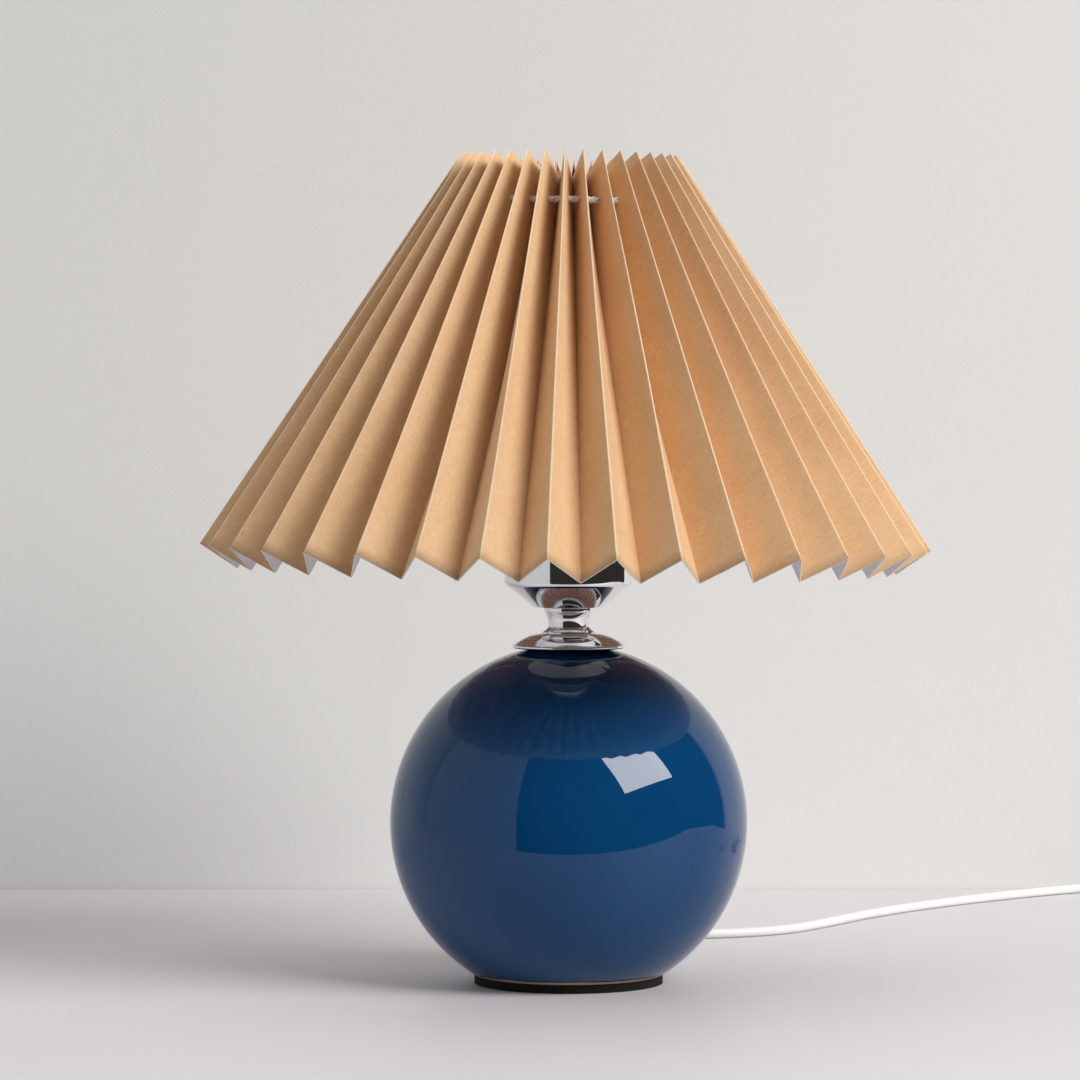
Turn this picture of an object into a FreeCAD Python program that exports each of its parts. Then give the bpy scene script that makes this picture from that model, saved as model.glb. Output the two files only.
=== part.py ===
"""Table lamp: a glazed ceramic ball, a chrome neck and cup, and a pleated conical shade.

Millimetres. The origin is the centre of the foot pad's underside, on the lamp's axis. +Z is up,
-Y is the front, +X is the right. The flex leaves the ball at the back and is put away on the
right, where the switch on it, its coil and its plug lie.
"""
import FreeCAD, Part
import math
import os
import re

import Sketcher
from FreeCAD import Placement, Rotation, Vector

doc = FreeCAD.newDocument("ball_table_lamp")

# ---------------------------------------------------------------------------------------------
# Driving sizes: each one is a plain number in the sheet "Sizes".
# ---------------------------------------------------------------------------------------------
SIZES = {
    # foot pad and ceramic ball
    "pad_diameter": 79.2,
    "pad_thickness": 3.7,
    "ball_diameter": 150.0,
    "foot_diameter": 79.6,
    "ball_wall": 5.0,
    "lip_diameter": 31.0,
    "mouth_diameter": 24.0,
    "floor_thickness": 5.0,
    "floor_hole_diameter": 40.0,
    "recess_diameter": 60.0,
    "recess_depth": 8.0,
    # threaded tube and the pieces clamped on it
    "rod_diameter": 10.0,
    "rod_bore": 7.0,
    "rod_gap": 0.1,
    "rod_entry": 8.0,
    "rod_end": 0.6,
    "port_length": 15.0,
    "plate_diameter": 58.0,
    "plate_thickness": 1.5,
    "washer_diameter": 18.0,
    "washer_thickness": 1.0,
    "nut_width": 14.0,
    "nut_height": 3.5,
    # chrome vase cap
    "cap_diameter": 47.8,
    "cap_rim": 1.8,
    "cap_rise": 6.4,
    "cap_crown_diameter": 22.9,
    "cap_dome_radius": 23.0,
    "cap_spigot": 3.0,
    "cap_spigot_gap": 0.4,
    # chrome neck spool
    "spool_foot_diameter": 22.4,
    "spool_shoulder_diameter": 18.1,
    "spool_shoulder_rise": 2.1,
    "spool_waist_diameter": 16.9,
    "spool_head_diameter": 20.3,
    "spool_collar_diameter": 20.8,
    "spool_collar_height": 1.6,
    "spool_height": 10.7,
    # chrome cup: a cone that turns into a straight band
    "cup_diameter": 54.2,
    "cup_floor_diameter": 29.8,
    "cup_cone_height": 9.8,
    "cup_shoulder_radius": 3.4,
    "cup_floor_radius": 2.0,
    "cup_height": 33.8,
    "cup_sheet": 1.2,
    # lampholder
    "holder_diameter": 38.0,
    "holder_wall": 2.0,
    "holder_nipple_diameter": 17.0,
    "holder_nipple_height": 3.0,
    "holder_cone_height": 9.0,
    "holder_cap_height": 20.0,
    "holder_shell_height": 36.0,
    "holder_thread_diameter": 39.4,
    "shoulder_diameter": 47.0,
    "shoulder_rise": 12.0,
    "shoulder_thickness": 2.0,
    "core_height": 10.0,
    "core_gap": 0.25,
    "core_ledge": 2.0,
    "screw_shell_bore": 26.8,
    "screw_shell_sheet": 0.4,
    "contact_rise": 2.2,
    "contact_sheet": 0.5,
    "contact_width": 5.0,
    "terminal_spacing": 18.0,
    "terminal_diameter": 3.0,
    "terminal_head_diameter": 5.0,
    "terminal_head_height": 2.0,
    "wire_diameter": 2.0,
    # shade ring nut
    "nut_ring_gap": 0.3,
    "nut_ring_diameter": 46.0,
    "nut_ring_height": 8.0,
    "nut_ring_grips": 12,
    "grip_diameter": 4.0,
    # wire carrier of the shade
    "carrier_gap": 0.3,
    "fitter_bore_gap": 0.4,
    "fitter_diameter": 50.0,
    "fitter_thickness": 1.5,
    "arm_count": 3,
    "arm_bulb_gap": 7.5,
    "wire_gauge": 3.0,
    "hoop_drop": 39.8,
    "cover_gap": 0.3,
    # pleated cover: one strip of laminated cloth, folded across, and its draw string
    "pleat_count": 36,
    "shade_diameter": 306.0,
    "shade_top_diameter": 91.2,
    "shade_foot_height": 183.4,
    "fold_length": 195.8,
    "panel_width": 21.6,
    "cover_thickness": 0.6,
    "first_fold_angle": -2.9,
    "string_drop": 20.5,
    "string_diameter": 3.0,
    "string_hole_gap": 0.35,
    "string_hole_sides": 6,
    "cover_bands": 6,
    # bulb
    "bulb_lift_gap": 0.3,
    "bulb_cap_diameter": 26.0,
    "bulb_cap_height": 21.0,
    "bulb_insulator_height": 5.0,
    "bulb_tip_diameter": 9.0,
    "bulb_tip_height": 1.5,
    "bulb_diameter": 60.0,
    "bulb_length": 106.5,
    "bulb_housing_height": 40.0,
    "bulb_neck_diameter": 27.6,
    "bulb_wall": 1.2,
    "led_board_thickness": 1.6,
    # flex and its strain relief
    "flex_diameter": 4.2,
    "flex_floor_gap": 0.05,
    "relief_height": 18.7,
    "relief_diameter": 9.0,
    "relief_gap": 0.1,
    "relief_tail": 24.0,
    "relief_tail_diameter": 6.0,
    "relief_inside": 12.0,
    "flex_bend": 17.0,
    "coil_mean_radius": 23.0,
    "coil_pitch": 4.75,
    "coil_layer_height": 4.75,
    "coil_turns_per_layer": 2,
    "coil_layers": 4,
    "tie_width": 4.0,
    "tie_thickness": 0.6,
    "tie_gap": 0.3,
    # switch on the flex
    "switch_length": 58.0,
    "switch_flex_rise": 2.2,
    "switch_wire_diameter": 1.9,
    "switch_wire_spacing": 2.1,
    "switch_width": 22.0,
    "switch_base_height": 7.5,
    "switch_cover_height": 9.0,
    "switch_wall": 2.0,
    "switch_corner": 5.0,
    "rocker_radius": 8.0,
    "rocker_width": 9.0,
    "rocker_gap": 0.4,
    "rocker_tilt": 8.0,
    "rocker_sink": 3.6,
    "pivot_diameter": 2.0,
    "pivot_gap": 0.06,
    "switch_screw_diameter": 2.6,
    "switch_screw_spacing": 46.0,
    # plug
    "plug_width": 35.0,
    "plug_height": 13.6,
    "plug_face_length": 9.0,
    "plug_length": 38.0,
    "plug_tail_diameter": 8.4,
    "pin_diameter": 4.0,
    "pin_length": 19.0,
    "pin_tip_length": 9.0,
    "pin_shank_diameter": 3.0,
    "pin_sleeve_diameter": 3.6,
    "pin_fit_gap": 0.02,
    "pin_round": 0.8,
    "pin_spacing": 18.6,
    "pin_root": 8.0,
}

# ---------------------------------------------------------------------------------------------
# Levels and radii that follow from the driving sizes: formulas in the sheet "Places".
# ---------------------------------------------------------------------------------------------
PLACES = {
    "ball_centre": "pad_thickness + sqrt((ball_diameter / 2)^2 - (foot_diameter / 2)^2)",
    "ball_inside": "ball_diameter / 2 - ball_wall",
    "lip": "ball_centre + sqrt((ball_diameter / 2)^2 - (lip_diameter / 2)^2)",
    "mouth_foot": "ball_centre + sqrt(ball_inside^2 - (mouth_diameter / 2)^2)",
    "recess_roof": "pad_thickness + recess_depth",
    "ball_floor": "recess_roof + floor_thickness",
    "ball_floor_radius": "sqrt(ball_inside^2 - (ball_centre - ball_floor)^2)",
    "plate_foot": "recess_roof - plate_thickness",
    "washer_foot": "plate_foot - washer_thickness",
    "bottom_nut_foot": "washer_foot - nut_height",
    "rod_foot": "bottom_nut_foot - rod_end",
    "rod_hole": "rod_diameter / 2 + rod_gap",
    "cap_top": "lip + cap_rise",
    "spool_top": "cap_top + spool_height",
    "cup_floor": "spool_top + cup_sheet",
    "cup_run": "(cup_diameter - cup_floor_diameter) / 2",
    "cup_flank": "sqrt(cup_run^2 + cup_cone_height^2)",
    "cup_high_ease": "cup_shoulder_radius * (cup_flank - cup_cone_height) / cup_run",
    "cup_low_ease": "cup_floor_radius * (cup_flank - cup_run) / cup_cone_height",
    "cup_high_reach": "cup_diameter / 2 - cup_high_ease * cup_run / cup_flank",
    "cup_high_level": "spool_top + cup_cone_height * (1 - cup_high_ease / cup_flank)",
    "cup_low_reach": "cup_floor_diameter / 2 + cup_low_ease * cup_run / cup_flank",
    "cup_low_level": "spool_top + cup_low_ease * cup_cone_height / cup_flank",
    "cup_band_foot": "spool_top + cup_cone_height + cup_high_ease",
    "holder_foot": "cup_floor + nut_height",
    "rod_top": "holder_foot + rod_entry",
    "rod_length": "rod_top - rod_foot",
    "holder_seam": "holder_foot + holder_cap_height",
    "holder_top": "holder_seam + holder_shell_height",
    "holder_inside": "holder_diameter / 2 - holder_wall",
    "shoulder_foot": "holder_seam + shoulder_rise",
    "shoulder_top": "shoulder_foot + shoulder_thickness",
    "core_top": "holder_seam + core_height",
    "fitter_foot": "shoulder_top + carrier_gap",
    "fitter_top": "fitter_foot + fitter_thickness",
    "nut_ring_foot": "fitter_top + carrier_gap",
    "arm_level": "fitter_foot + fitter_thickness / 2",
    "arm_reach": "bulb_diameter / 2 + arm_bulb_gap + wire_gauge / 2",
    "shade_top_height": "shade_foot_height + sqrt(fold_length^2 - ((shade_diameter - shade_top_diameter) / 2)^2)",
    "string_height": "shade_top_height - string_drop",
    "hoop_height": "shade_top_height - hoop_drop",
    "bulb_foot": "core_top + contact_rise + contact_sheet + bulb_lift_gap",
    "bulb_cap_foot": "bulb_foot + bulb_tip_height + bulb_insulator_height",
    "bulb_cap_top": "bulb_cap_foot + bulb_cap_height",
    "bulb_seam": "bulb_cap_top + bulb_housing_height",
    "bulb_centre": "bulb_foot + bulb_length - bulb_diameter / 2",
    "bulb_seam_radius": "sqrt((bulb_diameter / 2)^2 - (bulb_centre - bulb_seam)^2)",
    "relief_face": "sqrt((ball_diameter / 2)^2 - (ball_centre - relief_height)^2)",
    "relief_end": "relief_face + relief_tail",
    "relief_start": "relief_face - relief_inside",
    "flex_level": "flex_diameter / 2 + flex_floor_gap",
    "coil_level": "flex_level + tie_thickness + tie_gap",
    "switch_seam": "switch_base_height",
    "switch_top": "switch_base_height + switch_cover_height",
    "rocker_axis": "switch_top - rocker_sink",
    "switch_flex_level": "flex_level + switch_flex_rise",
}


def make_sheet(name, cells):
    """A spreadsheet with one named cell in each row."""
    sheet = doc.addObject("Spreadsheet::Sheet", name)
    for row, (alias, content) in enumerate(cells.items(), start=1):
        sheet.set(f"A{row}", alias)
        sheet.set(f"B{row}", content)
        sheet.setAlias(f"B{row}", alias)
    doc.recompute()
    return sheet


def linked(formula):
    """The formula with each size's name followed to its own sheet."""
    def owner(word):
        name = word.group(0)
        if name in SIZES:
            return f"Sizes.{name}"
        if name in PLACES:
            return f"Places.{name}"
        return name
    return re.sub(r"[A-Za-z_]\w*", owner, str(formula))


sizes = make_sheet("Sizes", {name: str(value) for name, value in SIZES.items()})
places = make_sheet("Places", {name: "=" + linked(rule) for name, rule in PLACES.items()})


def value(formula):
    """The number that a formula of the sheets' names gives now."""
    return float(sizes.evalExpression(linked(formula)))


# ---------------------------------------------------------------------------------------------
# Ways of making
# ---------------------------------------------------------------------------------------------
PARTS = []


def keep(piece):
    """Count an object as one of the lamp's sub-parts."""
    PARTS.append(piece)
    return piece


def bind(thing, **formulas):
    """Bind an object's properties to formulas of the sheets."""
    for prop, formula in formulas.items():
        thing.setExpression(prop.replace("__", "."), linked(formula))
    return thing


def arc_centre(start, end, radius):
    """Centre of the arc from start to end: left of the chord for a positive radius."""
    middle = (start + end) * 0.5
    chord = end - start
    left = Vector(-chord.y, chord.x, 0).normalize()
    rise = math.sqrt(max(radius * radius - chord.Length ** 2 / 4, 0))
    return middle + left * math.copysign(rise, radius)


def outline(body, plane, name, corners, lift=None):
    """A closed sketch through corners (x, y) or (x, y, radius), all of them formulas.

    A radius makes the edge that leaves its corner an arc, with its centre on the left of the
    way round for a positive radius and on the right for a negative one.
    """
    sketch = body.newObject("Sketcher::SketchObject", name)
    base = next(item for item in body.Origin.OriginFeatures if item.Role == plane)
    sketch.AttachmentSupport = [(base, "")]
    sketch.MapMode = "FlatFace"
    if lift is not None:
        bind(sketch, AttachmentOffset__Base__z=lift)
    points = [Vector(value(corner[0]), value(corner[1]), 0) for corner in corners]
    ends = []
    for index, corner in enumerate(corners):
        start, end = points[index], points[(index + 1) % len(points)]
        if len(corner) == 2:
            edge = sketch.addGeometry(Part.LineSegment(start, end), False)
            ends.append((edge, 1, 2))
            continue
        radius = value(corner[2])
        centre = arc_centre(start, end, radius)
        first, last = (start, end) if radius > 0 else (end, start)
        circle = Part.Circle(centre, Vector(0, 0, 1), abs(radius))
        low = math.atan2(first.y - centre.y, first.x - centre.x)
        high = math.atan2(last.y - centre.y, last.x - centre.x)
        if high < low:
            high += 2 * math.pi
        edge = sketch.addGeometry(Part.ArcOfCircle(circle, low, high), False)
        ends.append((edge, 1, 2) if radius > 0 else (edge, 2, 1))
        rule = sketch.addConstraint(Sketcher.Constraint("Radius", edge, abs(radius)))
        bind(sketch, **{f"Constraints[{rule}]": f"abs({corner[2]})"})
    for index, (edge, start, end) in enumerate(ends):
        after = ends[(index + 1) % len(ends)]
        sketch.addConstraint(Sketcher.Constraint("Coincident", edge, end, after[0], after[1]))
        for kind, axis, formula, number in (
            ("DistanceX", -2, corners[index][0], points[index].x),
            ("DistanceY", -1, corners[index][1], points[index].y),
        ):
            if formula == "0":
                sketch.addConstraint(Sketcher.Constraint("PointOnObject", edge, start, axis))
            else:
                rule = sketch.addConstraint(Sketcher.Constraint(kind, edge, start, number))
                bind(sketch, **{f"Constraints[{rule}]": formula})
    return sketch


def round_sketch(body, name, reach, radius, lift):
    """A circle in plan, centred on the X axis at a distance from the axis of the lamp."""
    sketch = body.newObject("Sketcher::SketchObject", name)
    plane = next(item for item in body.Origin.OriginFeatures if item.Role == "XY_Plane")
    sketch.AttachmentSupport = [(plane, "")]
    sketch.MapMode = "FlatFace"
    bind(sketch, AttachmentOffset__Base__z=lift)
    circle = Part.Circle(Vector(value(reach), 0, 0), Vector(0, 0, 1), value(radius))
    sketch.addGeometry(circle, False)
    size = sketch.addConstraint(Sketcher.Constraint("Radius", 0, value(radius)))
    bind(sketch, **{f"Constraints[{size}]": radius})
    if reach == "0":
        sketch.addConstraint(Sketcher.Constraint("Coincident", 0, 3, -1, 1))
    else:
        sketch.addConstraint(Sketcher.Constraint("PointOnObject", 0, 3, -1))
        place = sketch.addConstraint(Sketcher.Constraint("DistanceX", 0, 3, value(reach)))
        bind(sketch, **{f"Constraints[{place}]": reach})
    return sketch


def turned(label, corners):
    """A piece turned about Z from its half section, drawn as (radius, height) corners."""
    body = doc.addObject("PartDesign::Body", label)
    profile = outline(body, "XZ_Plane", label + "_section", corners)
    turn = body.newObject("PartDesign::Revolution", label + "_turning")
    turn.Profile = profile
    turn.ReferenceAxis = (profile, ["V_Axis"])
    turn.Angle = 360
    doc.recompute()
    return body


def cylinder(label, radius, height, foot="0"):
    """A round bar along Z."""
    return bind(doc.addObject("Part::Cylinder", label), Radius=radius, Height=height,
                Placement__Base__z=foot)


def cut(label, base, tool):
    """The base less the tool."""
    piece = doc.addObject("Part::Cut", label)
    piece.Base = base
    piece.Tool = tool
    return piece


def ring(label, outer, inner, height, foot):
    """A flat ring or short tube about Z."""
    bar = cylinder(label + "_bar", outer, height, foot)
    hole = cylinder(label + "_hole", inner, height + " + 2", foot + " - 1")
    return cut(label, bar, hole)


def hex_nut(label, foot):
    """A hexagon nut on the threaded tube."""
    block = bind(doc.addObject("Part::Prism", label + "_block"),
                 Circumradius="nut_width / sqrt(3)", Height="nut_height", Placement__Base__z=foot)
    block.Polygon = 6
    hole = cylinder(label + "_hole", "rod_hole", "nut_height + 2", foot + " - 1")
    return cut(label, block, hole)


def formed(label, shape):
    """A piece whose shape comes from a formula rather than from a primitive or a sketch."""
    piece = doc.addObject("Part::Feature", label)
    piece.Shape = shape
    return piece


def group(label, pieces):
    """Identical loose pieces that share one node."""
    bundle = doc.addObject("Part::Compound", label)
    bundle.Links = pieces
    return bundle


def unit(vector):
    return Vector(vector).normalize()


def rounded_path(name, points):
    """Straight runs joined by tangent arcs, each as large as its two runs allow."""
    radii = []
    edges = []
    here = points[0]
    for before, corner, after in zip(points, points[1:], points[2:]):
        into, out = unit(corner - before), unit(after - corner)
        half_turn = into.getAngle(out) / 2
        back = 0.45 * min((corner - before).Length, (after - corner).Length)
        radius = back / math.tan(half_turn)
        radii.append(radius)
        first, last = corner - into * back, corner + out * back
        inward = unit(out - into)
        centre = corner + inward * (radius / math.cos(half_turn))
        edges.append(Part.LineSegment(here, first).toShape())
        edges.append(Part.Arc(first, centre - inward * radius, last).toShape())
        here = last
    edges.append(Part.LineSegment(here, points[-1]).toShape())
    path = Part.Wire(edges)
    tightest = f", radii from {min(radii):.1f} to {max(radii):.1f} mm" if radii else ""
    print(f"{name}: {path.Length:.1f} mm long{tightest}")
    return path


def swept(name, path, diameter):
    """A round bar along a path, its volume set against its section times its length."""
    start = path.Edges[0]
    heading = start.tangentAt(start.FirstParameter)
    circle = Part.Circle(start.valueAt(start.FirstParameter), heading, diameter / 2).toShape()
    solid = path.makePipeShell([Part.Wire([circle])], True, False)
    plain = math.pi * diameter ** 2 / 4 * path.Length
    print(f"{name}: volume is {solid.Volume / plain:.4f} of section times length")
    return solid


# ---------------------------------------------------------------------------------------------
# Foot pad: a disc of black felted foam under the ball
# ---------------------------------------------------------------------------------------------
foot_pad = keep(cylinder("foot_pad", "pad_diameter / 2", "pad_thickness"))

# ---------------------------------------------------------------------------------------------
# Ceramic ball: slip cast, open at the mouth, recessed under the floor, drilled for the flex
# ---------------------------------------------------------------------------------------------
ball_blank = turned("ball_blank", [
    ("foot_diameter / 2", "pad_thickness", "ball_diameter / 2"),
    ("lip_diameter / 2", "lip"),
    ("mouth_diameter / 2", "lip"),
    ("mouth_diameter / 2", "mouth_foot", "-ball_inside"),
    ("ball_floor_radius", "ball_floor"),
    ("floor_hole_diameter / 2", "ball_floor"),
    ("floor_hole_diameter / 2", "recess_roof"),
    ("recess_diameter / 2", "recess_roof"),
    ("recess_diameter / 2", "pad_thickness"),
])
flex_hole = bind(doc.addObject("Part::Cylinder", "flex_hole"), Radius="relief_diameter / 2 + relief_gap",
                 Height="ball_diameter / 2", Placement__Base__z="relief_height")
flex_hole.Placement.Rotation = Rotation(Vector(1, 0, 0), -90)
ball_base = keep(cut("ball_base", ball_blank, flex_hole))

# ---------------------------------------------------------------------------------------------
# Threaded tube with its bottom plate, washer and nut: they clamp the whole stack to the ball
# ---------------------------------------------------------------------------------------------
bottom_plate = keep(ring("bottom_plate", "plate_diameter / 2", "rod_hole", "plate_thickness", "plate_foot"))
lock_washer = keep(ring("lock_washer", "washer_diameter / 2", "rod_hole", "washer_thickness", "washer_foot"))
bottom_nut = keep(hex_nut("bottom_nut", "bottom_nut_foot"))

# The flex turns up into the tube through a port milled in its back, above the ball's floor.
tube_blank = ring("tube_blank", "rod_diameter / 2", "rod_bore / 2", "rod_length", "rod_foot")
port = bind(doc.addObject("Part::Box", "tube_port"), Length="flex_diameter + 1.4", Width="rod_diameter",
            Height="port_length", Placement__Base__x="-(flex_diameter + 1.4) / 2",
            Placement__Base__z="relief_height + flex_bend / 3 - port_length / 3 + 1")
threaded_tube = keep(cut("threaded_tube", tube_blank, port))

# ---------------------------------------------------------------------------------------------
# Vase cap: a domed chrome casting that closes the mouth, with a spigot that centres it
# ---------------------------------------------------------------------------------------------
vase_cap = keep(turned("vase_cap", [
    ("rod_hole", "lip - cap_spigot"),
    ("mouth_diameter / 2 - cap_spigot_gap", "lip - cap_spigot"),
    ("mouth_diameter / 2 - cap_spigot_gap", "lip"),
    ("cap_diameter / 2 - cap_rim / 2", "lip", "cap_rim / 2"),
    ("cap_diameter / 2", "lip + cap_rim / 2", "cap_rim / 2"),
    ("cap_diameter / 2 - cap_rim / 2", "lip + cap_rim", "cap_dome_radius"),
    ("cap_crown_diameter / 2", "cap_top"),
    ("rod_hole", "cap_top"),
]))

# ---------------------------------------------------------------------------------------------
# Neck spool: turned, with a flared foot, a waist and a collar under the cup
# ---------------------------------------------------------------------------------------------
neck_spool = keep(turned("neck_spool", [
    ("rod_hole", "cap_top"),
    ("spool_foot_diameter / 2", "cap_top"),
    ("spool_foot_diameter / 2", "cap_top + 0.4", "-4.5"),
    ("spool_shoulder_diameter / 2", "cap_top + spool_shoulder_rise"),
    ("spool_waist_diameter / 2", "cap_top + spool_shoulder_rise + 0.4", "-12"),
    ("spool_head_diameter / 2", "spool_top - spool_collar_height"),
    ("spool_collar_diameter / 2", "spool_top - spool_collar_height"),
    ("spool_collar_diameter / 2", "spool_top"),
    ("rod_hole", "spool_top"),
]))


# ---------------------------------------------------------------------------------------------
# Cup: spun sheet, a cone whose floor and shoulder are rounded and a straight band above. The
# inner skin lies one sheet's thickness square to the outer one all the way.
# ---------------------------------------------------------------------------------------------
cup = keep(turned("cup", [
    ("rod_hole", "spool_top"),
    ("cup_floor_diameter / 2 - cup_low_ease", "spool_top", "cup_floor_radius"),
    ("cup_low_reach", "cup_low_level"),
    ("cup_high_reach", "cup_high_level", "cup_shoulder_radius"),
    ("cup_diameter / 2", "cup_band_foot"),
    ("cup_diameter / 2", "spool_top + cup_height"),
    ("cup_diameter / 2 - cup_sheet", "spool_top + cup_height"),
    ("cup_diameter / 2 - cup_sheet", "cup_band_foot", "-(cup_shoulder_radius - cup_sheet)"),
    ("cup_high_reach - cup_sheet * cup_cone_height / cup_flank",
     "cup_high_level + cup_sheet * cup_run / cup_flank"),
    ("cup_low_reach - cup_sheet * cup_cone_height / cup_flank",
     "cup_low_level + cup_sheet * cup_run / cup_flank", "-(cup_floor_radius - cup_sheet)"),
    ("cup_floor_diameter / 2 - cup_low_ease", "cup_floor"),
    ("rod_hole", "cup_floor"),
]))
cup_nut = keep(hex_nut("cup_nut", "cup_floor"))

# ---------------------------------------------------------------------------------------------
# Lampholder: cap, threaded shell with a shoulder, core, screw shell, contact and terminals
# ---------------------------------------------------------------------------------------------
holder_cap = keep(turned("holder_cap", [
    ("rod_hole", "holder_foot"),
    ("holder_nipple_diameter / 2", "holder_foot"),
    ("holder_nipple_diameter / 2", "holder_foot + holder_nipple_height"),
    ("holder_diameter / 2", "holder_foot + holder_nipple_height + holder_cone_height"),
    ("holder_diameter / 2", "holder_seam"),
    ("holder_inside - core_ledge", "holder_seam"),
    ("holder_inside - core_ledge", "holder_foot + holder_nipple_height + holder_cone_height + holder_wall / 2"),
    ("holder_nipple_diameter / 2 - 1", "rod_top - 2"),
    ("rod_hole", "rod_top - 2"),
]))
holder_shell = keep(turned("holder_shell", [
    ("holder_inside", "holder_seam"),
    ("holder_diameter / 2", "holder_seam"),
    ("holder_diameter / 2", "shoulder_foot"),
    ("shoulder_diameter / 2", "shoulder_foot"),
    ("shoulder_diameter / 2", "shoulder_top"),
    ("holder_thread_diameter / 2", "shoulder_top"),
    ("holder_thread_diameter / 2", "holder_top - 1"),
    ("holder_thread_diameter / 2 - 1", "holder_top"),
    ("holder_inside", "holder_top"),
]))

core_blank = cylinder("core_blank", "holder_inside - core_gap", "core_height", "holder_seam")
core_holes = group("core_holes", [
    bind(cylinder(f"core_hole_{name}", "terminal_diameter / 2 + 0.05", "core_height + 2", "holder_seam - 1"),
         Placement__Base__x=f"{side} * terminal_spacing / 2")
    for name, side in (("live", -1), ("neutral", 1))
])
holder_core = keep(cut("holder_core", core_blank, core_holes))
screw_shell = keep(ring("screw_shell", "screw_shell_bore / 2 + screw_shell_sheet", "screw_shell_bore / 2",
                        "holder_top - 1 - core_top", "core_top"))


def make_centre_contact():
    """A leaf of spring brass, flat on the core at one end and raised under the bulb's tip."""
    body = doc.addObject("PartDesign::Body", "centre_contact")
    leaf = outline(body, "XZ_Plane", "contact_section", [
        ("-8", "core_top"),
        ("-4", "core_top"),
        ("-2", "core_top + contact_rise"),
        ("4", "core_top + contact_rise"),
        ("4", "core_top + contact_rise + contact_sheet"),
        ("-2.3", "core_top + contact_rise + contact_sheet"),
        ("-4.3", "core_top + contact_sheet"),
        ("-8", "core_top + contact_sheet"),
    ])
    pad = body.newObject("PartDesign::Pad", "contact_leaf")
    pad.Profile = leaf
    pad.SideType = "Symmetric"
    bind(pad, Length="contact_width")
    doc.recompute()
    return body


centre_contact = keep(make_centre_contact())


def terminal_screw(name, side):
    """A cheese-head screw standing up into the core from below."""
    shank = cylinder(f"terminal_shank_{name}", "terminal_diameter / 2", "core_height * 0.7", "holder_seam")
    head = cylinder(f"terminal_head_{name}", "terminal_head_diameter / 2", "terminal_head_height",
                    "holder_seam - terminal_head_height")
    screw = doc.addObject("Part::Fuse", f"terminal_screw_{name}")
    screw.Base = shank
    screw.Tool = head
    return bind(screw, Placement__Base__x=f"{side} * terminal_spacing / 2")


terminal_screws = keep(group("terminal_screws", [terminal_screw("live", -1), terminal_screw("neutral", 1)]))

# ---------------------------------------------------------------------------------------------
# Ring nut that holds the shade carrier down on the holder's shoulder, with grips round its rim
# ---------------------------------------------------------------------------------------------
def make_ring_nut():
    body = doc.addObject("PartDesign::Body", "ring_nut")
    section = outline(body, "XZ_Plane", "ring_nut_section", [
        ("holder_thread_diameter / 2 + nut_ring_gap", "nut_ring_foot"),
        ("nut_ring_diameter / 2", "nut_ring_foot"),
        ("nut_ring_diameter / 2", "nut_ring_foot + nut_ring_height - 1"),
        ("nut_ring_diameter / 2 - 1", "nut_ring_foot + nut_ring_height"),
        ("holder_thread_diameter / 2 + nut_ring_gap", "nut_ring_foot + nut_ring_height"),
    ])
    turn = body.newObject("PartDesign::Revolution", "ring_nut_turning")
    turn.Profile = section
    turn.ReferenceAxis = (section, ["V_Axis"])
    turn.Angle = 360
    doc.recompute()
    plain = body.Shape.Volume
    notch = round_sketch(body, "grip_circle", "nut_ring_diameter / 2 + grip_diameter / 4", "grip_diameter / 2",
                         "nut_ring_foot")
    pocket = body.newObject("PartDesign::Pocket", "grip")
    pocket.Profile = notch
    pocket.Reversed = True
    bind(pocket, Length="nut_ring_height")
    doc.recompute()
    pattern = body.newObject("PartDesign::PolarPattern", "grips")
    pattern.Originals = [pocket]
    pattern.Axis = (notch, ["N_Axis"])
    pattern.Angle = 360
    bind(pattern, Occurrences="nut_ring_grips")
    body.Tip = pattern
    doc.recompute()
    print(f"ring_nut: {plain:.0f} cubic mm plain, {body.Shape.Volume:.0f} with its grips")
    return body


ring_nut = keep(make_ring_nut())


# ---------------------------------------------------------------------------------------------
# Pleated cover. The strip's panels keep one width, so each inner fold ends on the line that
# leaves the outer fold's end at a right angle: radius and height of the inner folds follow.
# ---------------------------------------------------------------------------------------------
PLEATS = int(value("pleat_count"))
HALF_PLEAT = math.pi / PLEATS


def outer_fold():
    """Foot and top of an outer fold as (radius, height)."""
    return ((value("shade_diameter / 2"), value("shade_foot_height")),
            (value("shade_top_diameter / 2"), value("shade_top_height")))


def inner_end(outer_end, slope):
    """End of the inner fold beside an outer fold's end: one panel's width away, square to it."""
    radius, height = outer_end
    across, along = math.cos(HALF_PLEAT), math.sin(HALF_PLEAT)
    stretch = 1 + slope ** 2
    a = across ** 2 * stretch + along ** 2
    b = -2 * across * stretch * radius
    c = stretch * radius ** 2 - value("panel_width") ** 2
    inner = (-b - math.sqrt(b * b - 4 * a * c)) / (2 * a)
    return inner, height + (inner * across - radius) * slope


OUTER_FOOT, OUTER_TOP = outer_fold()
SLOPE = (OUTER_FOOT[0] - OUTER_TOP[0]) / (OUTER_TOP[1] - OUTER_FOOT[1])
INNER_FOOT, INNER_TOP = inner_end(OUTER_FOOT, SLOPE), inner_end(OUTER_TOP, SLOPE)
print("outer fold", OUTER_FOOT, OUTER_TOP, "inner fold", INNER_FOOT, INNER_TOP)


def radius_at(foot, top, height):
    """Radius of a fold's line at a height."""
    return foot[0] + (top[0] - foot[0]) * (height - foot[1]) / (top[1] - foot[1])


def fold_point(end, index):
    """A fold's end in space: outer folds have even numbers, inner folds odd ones."""
    angle = math.radians(value("first_fold_angle")) - math.pi / 2 + index * HALF_PLEAT
    return Vector(end[0] * math.cos(angle), end[0] * math.sin(angle), end[1])


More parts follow.
